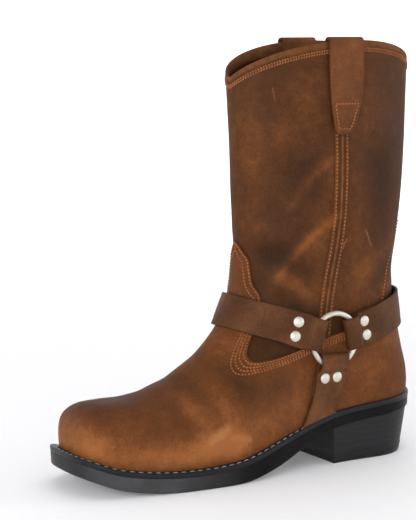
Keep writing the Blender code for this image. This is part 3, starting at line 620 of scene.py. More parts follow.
def add_node(tree, kind, inputs=None, **settings):
    """A node with its settings, and its sockets set to values or linked to other sockets."""
    node = tree.nodes.new(kind)
    for name, value in settings.items():
        setattr(node, name, value)
    for name, value in (inputs or {}).items():
        if isinstance(value, bpy.types.NodeSocket):
            tree.links.new(value, node.inputs[name])
        else:
            node.inputs[name].default_value = value
    return node


def linear(code):
    """A linear colour from an sRGB hex code."""
    values = [int(code[i : i + 2], 16) / 255 for i in (1, 3, 5)]
    return (*(v / 12.92 if v <= 0.04045 else ((v + 0.055) / 1.055) ** 2.4 for v in values), 1.0)


def mix(tree, factor, a, b):
    """Colour a where the factor is 0, b where it is 1."""
    return add_node(tree, "ShaderNodeMix", {0: factor, 6: a, 7: b}, data_type="RGBA").outputs[2]


def spread(tree, value, low, high, to_low=0.0, to_high=1.0):
    """A value mapped from one range to another, held at its ends."""
    inputs = {0: value, 1: low, 2: high, 3: to_low, 4: to_high}
    return add_node(tree, "ShaderNodeMapRange", inputs, interpolation_type="SMOOTHSTEP").outputs[0]


def vector(tree, operation, inputs, output=0):
    return add_node(tree, "ShaderNodeVectorMath", inputs, operation=operation).outputs[output]


def calc(tree, operation, a, b=0.0, c=0.0):
    return add_node(tree, "ShaderNodeMath", {0: a, 1: b, 2: c}, operation=operation).outputs[0]


def noise(tree, place, scale, detail=4.0, roughness=0.55, stretch=None):
    if stretch:
        place = add_node(tree, "ShaderNodeMapping", {0: place, 3: stretch}).outputs[0]
    inputs = {"Vector": place, "Scale": scale, "Detail": detail, "Roughness": roughness}
    return add_node(tree, "ShaderNodeTexNoise", inputs).outputs[0]


def new_material(name):
    """A material, its tree, its shader and the place on the object."""
    made = bpy.data.materials.new(name)
    made.use_nodes = True
    tree = made.node_tree
    shader = tree.nodes["Principled BSDF"]
    place = add_node(tree, "ShaderNodeTexCoord").outputs["Object"]
    return made, tree, shader, place


def bump(tree, shader, layers):
    """Bumps stacked on each other. Each layer is a height, its strength and its depth in metres."""
    normal = None
    for height, strength, depth in layers:
        inputs = {"Height": height, "Strength": strength, "Distance": depth}
        if normal:
            inputs["Normal"] = normal
        normal = add_node(tree, "ShaderNodeBump", inputs).outputs[0]
    tree.links.new(normal, shader.inputs["Normal"])


# %% [markdown]
# ## Materials

# %%
# Scratches and marks on the leather. Side; fwd and height of both ends; half width in millimetres; colour
MARKS = (
    (LATERAL, 86, 284, 84, 274, 0.4, "#96592f"),
    (LATERAL, 30, 170, 33, 163, 0.6, "#b06c3a"),
    (LATERAL, 12, 176, 6, 164, 0.5, "#946a4a"),
    (LATERAL, 4, 250, 7, 247, 0.9, "#2a170c"),
    (LATERAL, 152, 34, 139, 41, 2.4, "#a97248"),
    (LATERAL, 158, 31, 142, 35, 1.2, "#a46c43"),
    (LATERAL, 134, 34, 122, 32, 2.0, "#a56d44"),
    (LATERAL, 130, 27, 120, 30, 1.6, "#a0693f"),
    (LATERAL, 141, 45, 128, 48, 0.5, "#9a633c"),
    (LATERAL, 180, 46, 168, 50, 0.5, "#95603a"),
    (MEDIAL, 150, 36, 136, 40, 1.8, "#b07a4e"),
    (MEDIAL, 60, 230, 66, 214, 0.6, "#99694a"),
)
WOBBLE = 0.0012  # how far a scratch strays, in metres


def stroke_group():
    """A node group that gives 1 on a piece of line and 0 away from it."""
    tree = bpy.data.node_groups.new("stroke", "ShaderNodeTree")
    for name, kind in (("Start", "Vector"), ("End", "Vector"), ("Width", "Float")):
        tree.interface.new_socket(name, in_out="INPUT", socket_type=f"NodeSocket{kind}")
    tree.interface.new_socket("Mask", in_out="OUTPUT", socket_type="NodeSocketFloat")
    given = tree.nodes.new("NodeGroupInput").outputs
    place = add_node(tree, "ShaderNodeTexCoord").outputs["Object"]
    wobble = add_node(tree, "ShaderNodeTexNoise", {"Vector": place, "Scale": 260.0, "Detail": 3.0}).outputs[1]
    wobble = vector(tree, "MULTIPLY_ADD", {0: wobble, 1: (2 * WOBBLE,) * 3, 2: place})
    run = vector(tree, "SUBTRACT", {0: given["End"], 1: given["Start"]})
    off = vector(tree, "SUBTRACT", {0: wobble, 1: given["Start"]})
    off = vector(tree, "SUBTRACT", {0: off, 1: (WOBBLE,) * 3})
    dot = vector(tree, "DOT_PRODUCT", {0: off, 1: run}, "Value")
    own = vector(tree, "DOT_PRODUCT", {0: run, 1: run}, "Value")
    share = add_node(tree, "ShaderNodeClamp", {0: calc(tree, "DIVIDE", dot, own)}).outputs[0]
    near = vector(tree, "SCALE", {0: run, "Scale": share})
    away = vector(tree, "DISTANCE", {0: off, 1: near}, "Value")
    mask = calc(tree, "SUBTRACT", 1.0, calc(tree, "DIVIDE", away, given["Width"]))
    mask = add_node(tree, "ShaderNodeClamp", {0: mask}).outputs[0]
    out = tree.nodes.new("NodeGroupOutput")
    tree.links.new(mask, out.inputs[0])
    return tree


STROKE = stroke_group()
WIDE_SCUFF = 2.0


def marked(tree, place, colour, marks):
    """The colour with each mark laid over it, the narrow ones patchy along their length."""
    patchy = spread(tree, noise(tree, place, 700.0, 3.0), 0.36, 0.6)
    for side, fwd0, z0, fwd1, z1, wide, code in marks:
        ends = skin(side, np.array([fwd0, fwd1]), np.array([z0, z1]))[0] * (MM, -MM, MM)
        group = tree.nodes.new("ShaderNodeGroup")
        group.node_tree = STROKE
        group.inputs["Start"].default_value = ends[0]
        group.inputs["End"].default_value = ends[1]
        group.inputs["Width"].default_value = 2 * wide * MM
        broken = calc(tree, "MULTIPLY", group.outputs[0], patchy)
        mask = calc(tree, "MULTIPLY", broken if wide < WIDE_SCUFF else group.outputs[0], 0.7)
        colour = mix(tree, mask, colour, linear(code))
    return colour


def leather(name, dark, base, light, patch=0.5, gloss=0.52, marks=(), edge_light=None):
    """Oiled leather, darker where it is full of oil and lighter where it has been stretched or rubbed; its
    two per-point attributes also carry painted highlights and painted shade in places.
    """
    made, tree, shader, place = new_material(name)
    tone = add_node(tree, "ShaderNodeAttribute", attribute_name="tone").outputs["Fac"]
    clouds = noise(tree, place, 26.0, 5.0, 0.6, (1.0, 1.0, 0.7))
    mottle = noise(tree, place, 150.0, 5.0, 0.66)
    fine = noise(tree, place, 900.0, 3.0, 0.6)
    value = calc(tree, "MULTIPLY_ADD", calc(tree, "SUBTRACT", clouds, 0.5), 2.1 * patch, tone)
    value = calc(tree, "MULTIPLY_ADD", calc(tree, "SUBTRACT", mottle, 0.5), 2.2 * patch, value)
    value = calc(tree, "MULTIPLY_ADD", calc(tree, "SUBTRACT", fine, 0.5), 1.0, value)
    colour = mix(tree, spread(tree, value, -1.0, 0.3), linear(dark), linear(base))
    colour = mix(tree, spread(tree, value, -0.1, 1.3), colour, linear(light))
    nap = noise(tree, place, 2300.0, 2.0, 0.7)
    colour = mix(tree, spread(tree, nap, 0.42, 0.62, 0.0, 0.16), colour, linear(light))
    # Per-point mix towards the edge colour: real wear and burnished edges, a painted shadow along the vamp's
    # edge and a painted highlight on the seam's bead
    wear_and_painted_light = add_node(tree, "ShaderNodeAttribute", attribute_name="wear_and_painted_light").outputs["Fac"]
    if edge_light:
        wear_and_painted_light_mask = calc(tree, "MULTIPLY", wear_and_painted_light, spread(tree, mottle, 0.3, 0.7, 0.35, 1.0))
        colour = mix(tree, wear_and_painted_light_mask, colour, linear(edge_light))
    colour = marked(tree, place, colour, marks)
    tree.links.new(colour, shader.inputs["Base Color"])
    rough = spread(tree, clouds, 0.3, 0.7, gloss - 0.04, gloss + 0.12)
    tree.links.new(rough, shader.inputs["Roughness"])
    shader.inputs["Specular IOR Level"].default_value = 0.08
    shader.inputs["Coat Weight"].default_value = 0.02
    shader.inputs["Coat Roughness"].default_value = 0.35
    cells = add_node(tree, "ShaderNodeTexVoronoi", {"Vector": place, "Scale": 1100.0}, feature="SMOOTH_F1")
    layers = (
        (noise(tree, place, 85.0, 3.0, 0.6), 0.35, 0.0011),
        (noise(tree, place, 420.0, 4.0, 0.65), 0.4, 0.0003),
        (cells.outputs[0], 0.35, 0.00016),
    )
    bump(tree, shader, layers)
    return made


def plain(name, code, gloss, metal=0.0, speckle=0.1, layers=(), variation=0.15, shine=0.5):
    """A material of one colour with a little variation in tone and gloss."""
    made, tree, shader, place = new_material(name)
    cloud = noise(tree, place, 90.0, 4.0, 0.6)
    dim = tuple(v * (1 - variation) for v in linear(code)[:3]) + (1.0,)
    rough = spread(tree, cloud, 0.3, 0.7, gloss - speckle, gloss + speckle)
    tree.links.new(mix(tree, spread(tree, cloud, 0.3, 0.7), dim, linear(code)), shader.inputs["Base Color"])
    tree.links.new(rough, shader.inputs["Roughness"])
    shader.inputs["Metallic"].default_value = metal
    shader.inputs["Specular IOR Level"].default_value = shine
    made_layers = [(noise(tree, place, *sizes), strength, depth) for sizes, strength, depth in layers]
    if made_layers:
        bump(tree, shader, made_layers)
    return made


def stacked(name, code, gloss):
    """Layers of dyed leather, seen as fine level lines."""
    made, tree, shader, place = new_material(name)
    height = add_node(tree, "ShaderNodeSeparateXYZ", {0: place}).outputs["Z"]
    wander = noise(tree, place, 40.0, 3.0)
    level = calc(tree, "MULTIPLY_ADD", wander, 0.0012, height)
    fine = noise(tree, place, 900.0, 4.0, 0.6, (0.05, 0.05, 1.0))
    lines = calc(tree, "SINE", calc(tree, "MULTIPLY", level, 2 * math.pi / 0.0046))
    lines = spread(tree, lines, 0.86, 1.0)
    shade = calc(tree, "MULTIPLY_ADD", fine, 0.5, calc(tree, "MULTIPLY", lines, -0.5))
    grey = tuple(v * 1.5 for v in linear(code)[:3]) + (1.0,)
    tree.links.new(mix(tree, spread(tree, shade, -0.2, 0.6), linear(code), grey), shader.inputs["Base Color"])
    shader.inputs["Roughness"].default_value = gloss
    shader.inputs["Specular IOR Level"].default_value = 0.12
    bump(tree, shader, ((lines, -0.12, 0.0002), (fine, 0.3, 0.0002)))
    return made


def sole_painted_highlight(made, code):
    """The sole's rubber with a painted highlight: greyer from the ball to the toe than at the waist and at
    the tip.
    """
    tree = made.node_tree
    colour = tree.nodes["Principled BSDF"].inputs["Base Color"]
    place = add_node(tree, "ShaderNodeTexCoord").outputs["Object"]
    y = add_node(tree, "ShaderNodeSeparateXYZ", {0: place}).outputs["Y"]
    amount = calc(tree, "MULTIPLY", spread(tree, y, *HIGHLIGHT_STARTS), spread(tree, y, *HIGHLIGHT_ENDS))
    patchy = spread(tree, noise(tree, place, 45.0, 4.0, 0.6), 0.3, 0.7, 0.65, 1.0)
    amount = calc(tree, "MULTIPLY", amount, patchy)
    tree.links.new(mix(tree, amount, colour.links[0].from_socket, linear(code)), colour)


# Where along Y the painted highlight comes in and where it goes, in metres
HIGHLIGHT_STARTS = (-0.115, -0.19)
HIGHLIGHT_ENDS = (-0.258, -0.23)
GRAIN = (((700.0, 3.0), 0.3, 0.0002),)
MATERIALS = {
    # The vamp's dark edge colour is the cut edge's own colour and a painted shadow along that edge
    "vamp": leather("vamp_leather", "#3a2210", "#5e3519", "#935a30", 0.46, 0.6, MARKS, "#24120a"),
    "shaft": leather("shaft_leather", "#27180c", "#4a2b15", "#7e4b25", 0.52, 0.62, MARKS, "#8a5630"),
    "strap": leather("strap_leather", "#29160b", "#4e2f1a", "#7a5030", 0.45, 0.54, (), "#2e1a0e"),
    "pull": leather("pull_strap_leather", "#311b0e", "#5c361e", "#83522e", 0.5, 0.58, (), "#3d2213"),
    "suede": plain("lining_suede", "#38180a", 0.95, 0.0, 0.04, (((500.0, 4.0), 0.8, 0.0005),), 0.35, 0.05),
    "sock": plain("sock_leather", "#8a5c38", 0.75, 0.0, 0.08, GRAIN, 0.25),
    "thread": plain("thread", "#a0623a", 0.8, 0.0, 0.1, (((2500.0, 2.0), 0.6, 0.0002),), 0.35, 0.15),
    "welt": plain("black_welt", "#1b1b1d", 0.42, 0.0, 0.06, (((500.0, 3.0), 0.3, 0.0002),), 0.3, 0.2),
    "welt_thread": plain("welt_thread", "#8f9aa6", 0.6, 0.0, 0.1, (), 0.2),
    "sole": plain("black_rubber", "#151516", 0.4, 0.0, 0.06, (((300.0, 3.0), 0.2, 0.0002),), 0.3, 0.06),
    "lift": plain("black_lift", "#222223", 0.4, 0.0, 0.06, (((300.0, 3.0), 0.2, 0.0002),), 0.3, 0.12),
    "stack": stacked("black_stack", "#202021", 0.45),
    "nickel": plain("nickel", "#d6d0c5", 0.46, 0.75, 0.07, (((900.0, 3.0), 0.12, 0.0001),), 0.06),
}
# Painted highlight: the sole is lighter grey from the ball to the toe
sole_painted_highlight(MATERIALS["sole"], "#474748")

# %% [markdown]
# ## Vamp, shaft and lining

# %%
def level(rows, columns):
    """The same master rows for both sides, each all the way along its columns."""
    grid = np.repeat(np.asarray(rows, float)[:, None], len(columns), axis=1)
    return {LATERAL: grid, MEDIAL: grid}


def wall(rows_by_side, heights, columns):
    """Points and tones of a band of the upper, from the master rows of each side and one height a row."""
    points, tones = [], []
    for side in (LATERAL, MEDIAL):
        row = rows_by_side[side]
        column = np.broadcast_to(columns, row.shape)
        high = np.broadcast_to(np.asarray(heights, float).reshape(len(row), -1), row.shape)
        points.append(raised(side, row, column, high)[0])
        tones.append(sample(side, "tone", row, column)[..., 0])
    return as_ring(*points), as_ring(*tones)


EDGE_ROWS = {side: edge_rows(side) for side in (LATERAL, MEDIAL)}


def vamp():
    """Vamp and counter, from the welt to their cut edge over the shaft."""
    steps = 130 if DENSE else 60
    share = np.linspace(0, 1, steps)[:, None]
    rows, dark_edge_and_painted_shadow = {}, []
    for side, edge in EDGE_ROWS.items():
        usual = np.median(edge)
        body = usual * share + (edge - usual) * share**3
        lip = [edge + step for step in (0.12, 0.22, 0.26, 0.26)]
        rows[side] = np.concatenate([body, lip])
        # A dark band along the vamp's cut edge: the edge's own dark colour and a painted shadow
        near = (edge - rows[side]) * 1.5
        dark_edge_and_painted_shadow.append(0.9 * np.exp(-((near / 0.5) ** 2)))
    heights = [OVERLAY] * (steps - 1) + [OVERLAY - 0.03, OVERLAY - 0.16, OVERLAY - 0.45, OVERLAY - 0.9, -0.3]
    points, tone = wall(rows, heights, COLUMNS)
    faces = grid_faces(len(points), points.shape[1])
    values = {"tone": tone, "wear_and_painted_light": as_ring(*dark_edge_and_painted_shadow)}
    piece("vamp_and_counter", points, faces, MATERIALS["vamp"], ("upper",), values)


SHAFT_FROM = 0.36
RIM_STEPS = 6


def shaft():
    """The shaft's outer leather, over the rim of the collar and a little way down inside."""
    steps = 150 if DENSE else 70
    share = np.linspace(SHAFT_FROM, 1, steps)
    outer, tone = wall(level(share * MASTER_ROWS, COLUMNS), [0.0] * steps, COLUMNS)
    normal = grid_normals(outer)[-1]
    up = unit(outer[-1] - outer[-2])
    rim = []
    for i in range(1, RIM_STEPS):
        angle = math.pi * i / RIM_STEPS
        rim.append(outer[-1] - normal * WALL / 2 * (1 - math.cos(angle)) + up * WALL / 2 * math.sin(angle))
    inside = np.linspace(1, 0.96, 4) * MASTER_ROWS
    inner, inner_tone = wall(level(inside, COLUMNS), [-WALL] * 4, COLUMNS)
    points = np.concatenate([outer, rim, inner])
    # Darker low at the front of the shaft, under the straps: partly the leather's own darker colour and
    # partly painted shade
    tone = tone - 0.6 * (1 - smooth_step(outer[..., 2], 104.0, 122.0))
    tones = np.concatenate([tone, np.repeat(tone[-1:], RIM_STEPS - 1, axis=0), inner_tone])
    wear_and_painted_light = np.zeros(tones.shape)
    wear_and_painted_light[steps - 2 : steps + RIM_STEPS] = 0.45
    faces = grid_faces(len(points), points.shape[1])
    values = {"tone": tones, "wear_and_painted_light": wear_and_painted_light}
    piece("shaft", points, faces, MATERIALS["shaft"], ("upper",), values)


def lining():
    """Suede lining, from just under the rim down to the insole."""
    rows = np.linspace(0.985, 0.02, 70) * MASTER_ROWS
    columns = COLUMNS[::2]
    top = wall(level(rows[:1], columns), [-WALL + 0.2], columns)[0]
    points = np.concatenate([top, wall(level(rows, columns), [-WALL - 0.35] * len(rows), columns)[0]])
    faces = grid_faces(len(points), points.shape[1])[:, ::-1]
    made = piece("lining", points, faces, MATERIALS["suede"], ("upper",))
    turn(made, -1)


def turn(made, way):
    """Turns an open sheet's faces away from the boot's upright middle line, or towards it where way is -1."""
    mesh = made.data
    right = 0
    for face in mesh.polygons:
        out = face.center - Vector((0, -LEG_MIDDLE * MM, face.center.z))
        right += face.normal.dot(out) * way > 0
    if right < len(mesh.polygons) / 2:
        mesh.flip_normals()


vamp()
shaft()
lining()
INSOLE_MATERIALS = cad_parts["insole"].data.materials
INSOLE_MATERIALS.clear()
INSOLE_MATERIALS.append(MATERIALS["sock"])

# %% [markdown]
# ## Side seams

# %%
# Half of the seam strip's section: distance from its middle, and height
SEAM_SECTION = (
    (0, 1.6),
    (0.6, 1.5),
    (1.1, 1.15),
    (2.0, 0.9),
    (4.4, 0.9),
    (5.6, 0.85),
    (6.1, 0.5),
    (6.3, -0.2),
)


def seam(side):
    """The seam's raised strip, with a bead down its middle."""
    half = np.array(SEAM_SECTION)
    offsets, high = np.concatenate([half[:0:-1] * (-1, 1), half]).T
    z = np.linspace(88, 312, 150)
    fwd = table_flow(SIDE_SEAM, 1, z)[:, None] + offsets
    height = np.repeat(z[:, None], len(offsets), axis=1)
    point = over_skin(side, fwd, height, high)[0]
    tone = toned(side, fwd, height) + 0.15
    # Lighter on the bead: rubbed wear and a painted highlight
    wear_and_painted_light = np.repeat(((np.abs(offsets) < 1) * 0.45)[None], len(z), axis=0)
    # Darker at the strip's outer edges and in the grooves beside the bead: painted shade
    tone = tone + 0.15 - 0.55 * ((np.abs(offsets) > 5.8) + (np.abs(np.abs(offsets) - 1.5) < 0.6))
    faces = grid_faces(len(z), len(offsets), around=False)
    name, values = f"side_seam_{SIDE_NAMES[side]}", {"tone": tone, "wear_and_painted_light": wear_and_painted_light}
    turn(piece(name, point, faces, MATERIALS["shaft"], ("upper",), values), 1)


for SIDE in (LATERAL, MEDIAL):
    seam(SIDE)

# %% [markdown]
# ## Harness straps, rings and rivets

# %%
LOW = OVERLAY + GAP + STRAP_THICK / 2
RING_HIGH = LOW + STRAP_THICK / 2 + GAP + RING_WIRE
OVER_RING = RING_HIGH + RING_WIRE + GAP + STRAP_THICK / 2
DOUBLED = LOW + STRAP_THICK + GAP
ROUND_THE_BOOT = 1.0
RING_OFF = 0.7
FOLD_AT = 12.4
ON_PLANE, ON_SKIN = 27.0, 44.0
SIDE_STRAP_END = 0.4


def ring_frame(side):
    """Centre and axes of a ring: towards the toe, up, and out of the boot."""
    foot, out = skin(side, *RING_AT)
    toe = unit(np.array([0, 1.0, 0]) - out * out[1])
    up = np.array([0, 0, 1.0]) - out * out[2]
    return foot, toe, unit(up - toe * up.dot(toe)), out


RING_FRAMES = {side: ring_frame(side) for side in (LATERAL, MEDIAL)}


def fold_path():
    """Middle line of a strap's end, as distance from the ring's centre and height: tail, turn and leg."""
    radius = (OVER_RING - LOW) / 2
    turn = FOLD_AT + radius - STRAP_THICK / 2
    path = [(41.0, LOW), (33.0, LOW), (25.0, LOW), (turn, LOW)]
    for i in range(1, 12):
        angle = math.pi * i / 12
        path.append((turn - radius * math.sin(angle), LOW + radius - radius * math.cos(angle)))
    path += [(turn, OVER_RING), (18.5, OVER_RING), (20.4, OVER_RING - 0.15), (22.0, OVER_RING - 0.9)]
    path += [(23.6, DOUBLED + 0.6), (25.0, DOUBLED + 0.1), (27.0, DOUBLED), (34.0, DOUBLED), (42.5, DOUBLED)]
    path += [(48.0, (DOUBLED + LOW + ROUND_THE_BOOT) / 2), (53.5, LOW + ROUND_THE_BOOT)]
    return np.array(path)


def lay(side, direction, out, across, height):
    """Points of a strap: out along it from the ring's centre, across it, and height over the skin."""
    out, across, height = np.broadcast_arrays(out, across, height)
    fwd, z = direction(out, across)
    point, normal = skin(side, fwd, z)
    on_skin = point + normal * height[..., None]
    centre, toe, up, away = RING_FRAMES[side]
    flat = centre + toe * (fwd - RING_AT[0])[..., None] + up * (z - RING_AT[1])[..., None]
    flat = flat + away * (height + RING_OFF)[..., None]
    flat += away * np.maximum(0, (on_skin - flat) @ away)[..., None]
    return flat + (on_skin - flat) * smooth_step(out, ON_PLANE, ON_SKIN)[..., None]


def straight(angle):
    """The side-view direction of a strap that leaves the ring at this angle above the line to the toe."""
    cos, sin = math.cos(math.radians(angle)), math.sin(math.radians(angle))
    turn = 1 if cos > 0 else -1

    def direction(out, across):
        return RING_AT[0] + out * cos - turn * across * sin, RING_AT[1] + out * sin + turn * across * cos

    return direction


def swept(out, across):
    """The side-view direction of the strap to the sole."""
    return RING_AT[0] + SIDE_STRAP_SWEEP * out**2 + across, RING_AT[1] - out


def strap_section():
    """Round a strap's section: share of the width, and share of the thickness, with rounded corners."""
    steps = 9 if DENSE else 5
    flat = np.linspace(-STRAP_FLAT, STRAP_FLAT, steps)
    top = [(x, 0.5) for x in flat]
    right = [(0.488, 0.43), (0.497, 0.22), (0.5, 0.0), (0.497, -0.22), (0.488, -0.43)]
    bottom = [(x, -0.5) for x in flat[::-1]]
    left = [(-x, y) for x, y in right[::-1]]
    return np.array(top + right + bottom + left)


SECTION = strap_section()


def strap_width(out):
    return STRAP_FOLD_WIDE + (STRAP_WIDE - STRAP_FOLD_WIDE) * smooth_step(out, 18.0, 28.0)


def wave(out, across, seed):
    """Gentle unevenness of a worn strap."""
    lift = 0.35 * (2 * across / STRAP_WIDE) ** 4
    return lift * smooth_step(out, 45, 60) + 0.14 * np.sin(out * 0.16 + seed) * np.cos(across * 0.19 + seed)


def fold_grid(side, direction, seed):
    """Points of a strap's end, sections by points round each."""
    path = fold_path()
    chord = np.concatenate([[0], np.cumsum(np.hypot(*np.diff(path, axis=0).T))])
    at = np.linspace(0, chord[-1], 110 if DENSE else 50)
    path = np.stack([flow(chord, path[:, i], at) for i in (0, 1)], axis=1)
    ahead = unit(np.gradient(path, axis=0))
    face = np.stack([-ahead[:, 1], ahead[:, 0]], axis=1) * STRAP_THICK
    across = strap_width(path[:, :1]) * SECTION[:, 0]
    out = path[:, :1] + face[:, :1] * SECTION[:, 1]
    height = path[:, 1:] + face[:, 1:] * SECTION[:, 1] + wave(path[:, :1], across, seed)
    return lay(side, direction, out, across, height)


def wrap_grid(side, direction, line, seed):
    """The rest of a strap, from its doubled end to the middle of the boot's front or back."""
    shares = np.linspace(-0.5, 0.5, 5)
    tries = np.linspace(50, 100, 501)
    ends = []
    for share in shares:
        fwd, z = direction(tries, share * STRAP_WIDE)
        inside = np.abs(fwd - RING_AT[0]) < np.abs(np.interp(z, line[:, 1], line[:, 0]) - RING_AT[0])
        ends.append(tries[(~inside).argmax()])
    end = np.interp(SECTION[:, 0], shares, ends)
    start = fold_path()[-1, 0]
    steps = 46 if DENSE else 20
    done = np.sin(math.pi / 2 * np.arange(1, steps + 1) / steps)[:, None]
    out = start + (end - start) * done
    across = STRAP_WIDE * SECTION[:, 0]
    height = LOW + ROUND_THE_BOOT + STRAP_THICK * SECTION[:, 1] + wave(out, across, seed)
    points = lay(side, direction, out, across, height)
    edge_low, edge_high = (np.abs(SECTION[:, 0] - x).argmin() for x in (-STRAP_FLAT, STRAP_FLAT))
    share = (SECTION[:, 0] + STRAP_FLAT) / (2 * STRAP_FLAT)
    low, high = points[:, edge_low, None], points[:, edge_high, None]
    bridge = low + (high - low) * share[:, None]
    axis = np.array([0, LEG_MIDDLE])
    drop = np.where(SECTION[:, 1] < 0, STRAP_THICK, 0.0) * (np.abs(SECTION[:, 0]) <= STRAP_FLAT)
    bridge[..., :2] -= unit(bridge[..., :2] - axis) * drop[:, None]
    over = np.linalg.norm(bridge[..., :2] - axis, axis=-1) - np.linalg.norm(points[..., :2] - axis, axis=-1)
    held = smooth_step(over, -0.2, 0.9) * (np.abs(SECTION[:, 0]) < 0.46)
    points = points + (bridge - points) * held[..., None]
    points[-1, :, 0] = 0
    return points


def caps(rows, size):
    """Faces that close a band of sections at both ends."""
    first = tuple(range(size))[::-1]
    last = tuple((rows - 1) * size + i for i in range(size))
    return [first, last]


def strap_piece(name, points, end_rub=0.7, material="strap", lighter=0.0):
    """A strap from its sections, with lighter cut edges."""
    rows, size = points.shape[:2]
    faces = [*grid_faces(rows, size), *caps(rows, size)]
    edge = smooth_step(np.abs(SECTION[:, 0]), 0.462, 0.492)
    wear_and_painted_light = np.repeat(edge[None], rows, axis=0) * 0.75
    wear_and_painted_light[:2] = wear_and_painted_light[-2:] = end_rub
    along = np.arange(rows)[:, None]
    tone = lighter + 0.2 * np.sin(along * 0.12 + SECTION[:, 0] * 3) + 0.3 * SECTION[:, 0] ** 2
    values = {"tone": tone, "wear_and_painted_light": wear_and_painted_light}
    piece(name, points, faces, MATERIALS[material], (name,), values)


def eased(points, middle):
    """The sections of a strap smoothed where its two halves meet."""
    reach = 14
    held = smooth_step(reach - np.abs(np.arange(len(points)) - middle), 0, reach / 2)[:, None, None]
    for _ in range(12):
        points = points + (averaged(points) - points) * held
    return points


def long_strap(name, angle, line, seed):
    """A strap from the lateral ring round the boot to the medial one."""
    direction = straight(angle)
    halves = []
    for side in (LATERAL, MEDIAL):
        fold = fold_grid(side, direction, seed + side)
        halves.append(np.concatenate([fold, wrap_grid(side, direction, line, seed)]))
    strap_piece(name, eased(np.concatenate([halves[0], halves[1][-2::-1]]), len(halves[0]) - 1))


def side_strap(side):
    """The strap from a ring down to the welt."""
    fold = fold_grid(side, swept, 2.0)
    across = STRAP_WIDE * SECTION[:, 0]
    end = np.full(len(across), 60.0)
    for _ in range(8):
        end = RING_AT[1] - sole("top", swept(end, across)[0]) - SIDE_STRAP_END
    start = fold_path()[-1, 0]
    done = np.linspace(0, 1, 8)[1:, None]
    out = start + (end - start) * done
    high = LOW + ROUND_THE_BOOT * (1 - 0.6 * done) + STRAP_THICK * SECTION[:, 1]
    foot = lay(side, swept, out, across, high)
    strap_piece(f"strap_side_{SIDE_NAMES[side]}", np.concatenate([fold, foot]), 0.3, lighter=0.3)


def ring(side):
    """A round steel ring that the three straps hold."""
    centre, toe, up, out = RING_FRAMES[side]
    centre = centre + out * (RING_HIGH + RING_OFF)
    turns, facets = 96, 20
    angle = 2 * math.pi * np.arange(turns)[:, None] / turns
    around = 2 * math.pi * np.arange(facets) / facets
    wide = RING_OUTER - RING_WIRE + RING_WIRE * np.cos(around)
    spoke = toe * np.cos(angle)[..., None] + up * np.sin(angle)[..., None]
    points = centre + spoke * wide[:, None] + out * (RING_WIRE * np.sin(around))[:, None]
    name = f"ring_{SIDE_NAMES[side]}"
    piece(name, points, grid_faces(turns, facets, along=True), MATERIALS["nickel"], (name,))


# Radius and rise of a rivet's head, as shares
RIVET_PROFILE = (
    (0.99, -0.2),
    (1.0, 0.06),
    (0.985, 0.22),
    (0.93, 0.36),
    (0.84, 0.5),
    (0.7, 0.68),
    (0.5, 0.86),
    (0.28, 0.97),
    (0.1, 1.0),
)


def rivet(name, side, direction, out, across):
    """The domed head of a rivet on a strap's doubled end."""
    high = DOUBLED + STRAP_THICK / 2 + 0.15
    outs, acrosses = np.array([out, out + 3, out - 3, out, out]), across + np.array([0, 0, 0, 3, -3])
    centre, ahead, behind, over, under = lay(side, direction, outs, acrosses, np.full(5, high))
    ahead, over = ahead - behind, over - under
    away = np.cross(ahead, over)
    away *= np.sign(away[0]) * side / np.linalg.norm(away)
    ahead = unit(ahead)
    over = np.cross(away, ahead)
    angle = 2 * math.pi * np.arange(32)[:, None] / 32
    spoke = ahead * np.cos(angle) + over * np.sin(angle)
    rings = [centre + spoke * RIVET_RADIUS * wide + away * RIVET_HIGH * rise for wide, rise in RIVET_PROFILE]
    faces = [*grid_faces(len(rings), 32), *caps(len(rings), 32)]
    piece(name, np.array(rings), faces, MATERIALS["nickel"], (name,))


long_strap("strap_front", FRONT_STRAP_ANGLE, FRONT_LINE_HIGH, 0.4)
long_strap("strap_back", BACK_STRAP_ANGLE, BACK_LINE, 1.9)
DIRECTIONS = {"front": straight(FRONT_STRAP_ANGLE), "back": straight(BACK_STRAP_ANGLE), "side": swept}
for SIDE, SIDE_NAME in SIDE_NAMES.items():
    side_strap(SIDE)
    ring(SIDE)
    for STRAP, DIRECTION in DIRECTIONS.items():
        for NUMBER, ACROSS_AT in ((1, RIVET_APART / 2), (2, -RIVET_APART / 2)):
            rivet(f"rivet_{SIDE_NAME}_{STRAP}_{NUMBER}", SIDE, DIRECTION, RIVETS_OUT[STRAP], ACROSS_AT)

# %% [markdown]
# ## Pull straps

# %%
PULL_ON_STRIP = SEAM_BEAD + GAP + PULL_THICK / 2
SKIN_ENDS = 322.0  # the shaft leather's face is known up to this height


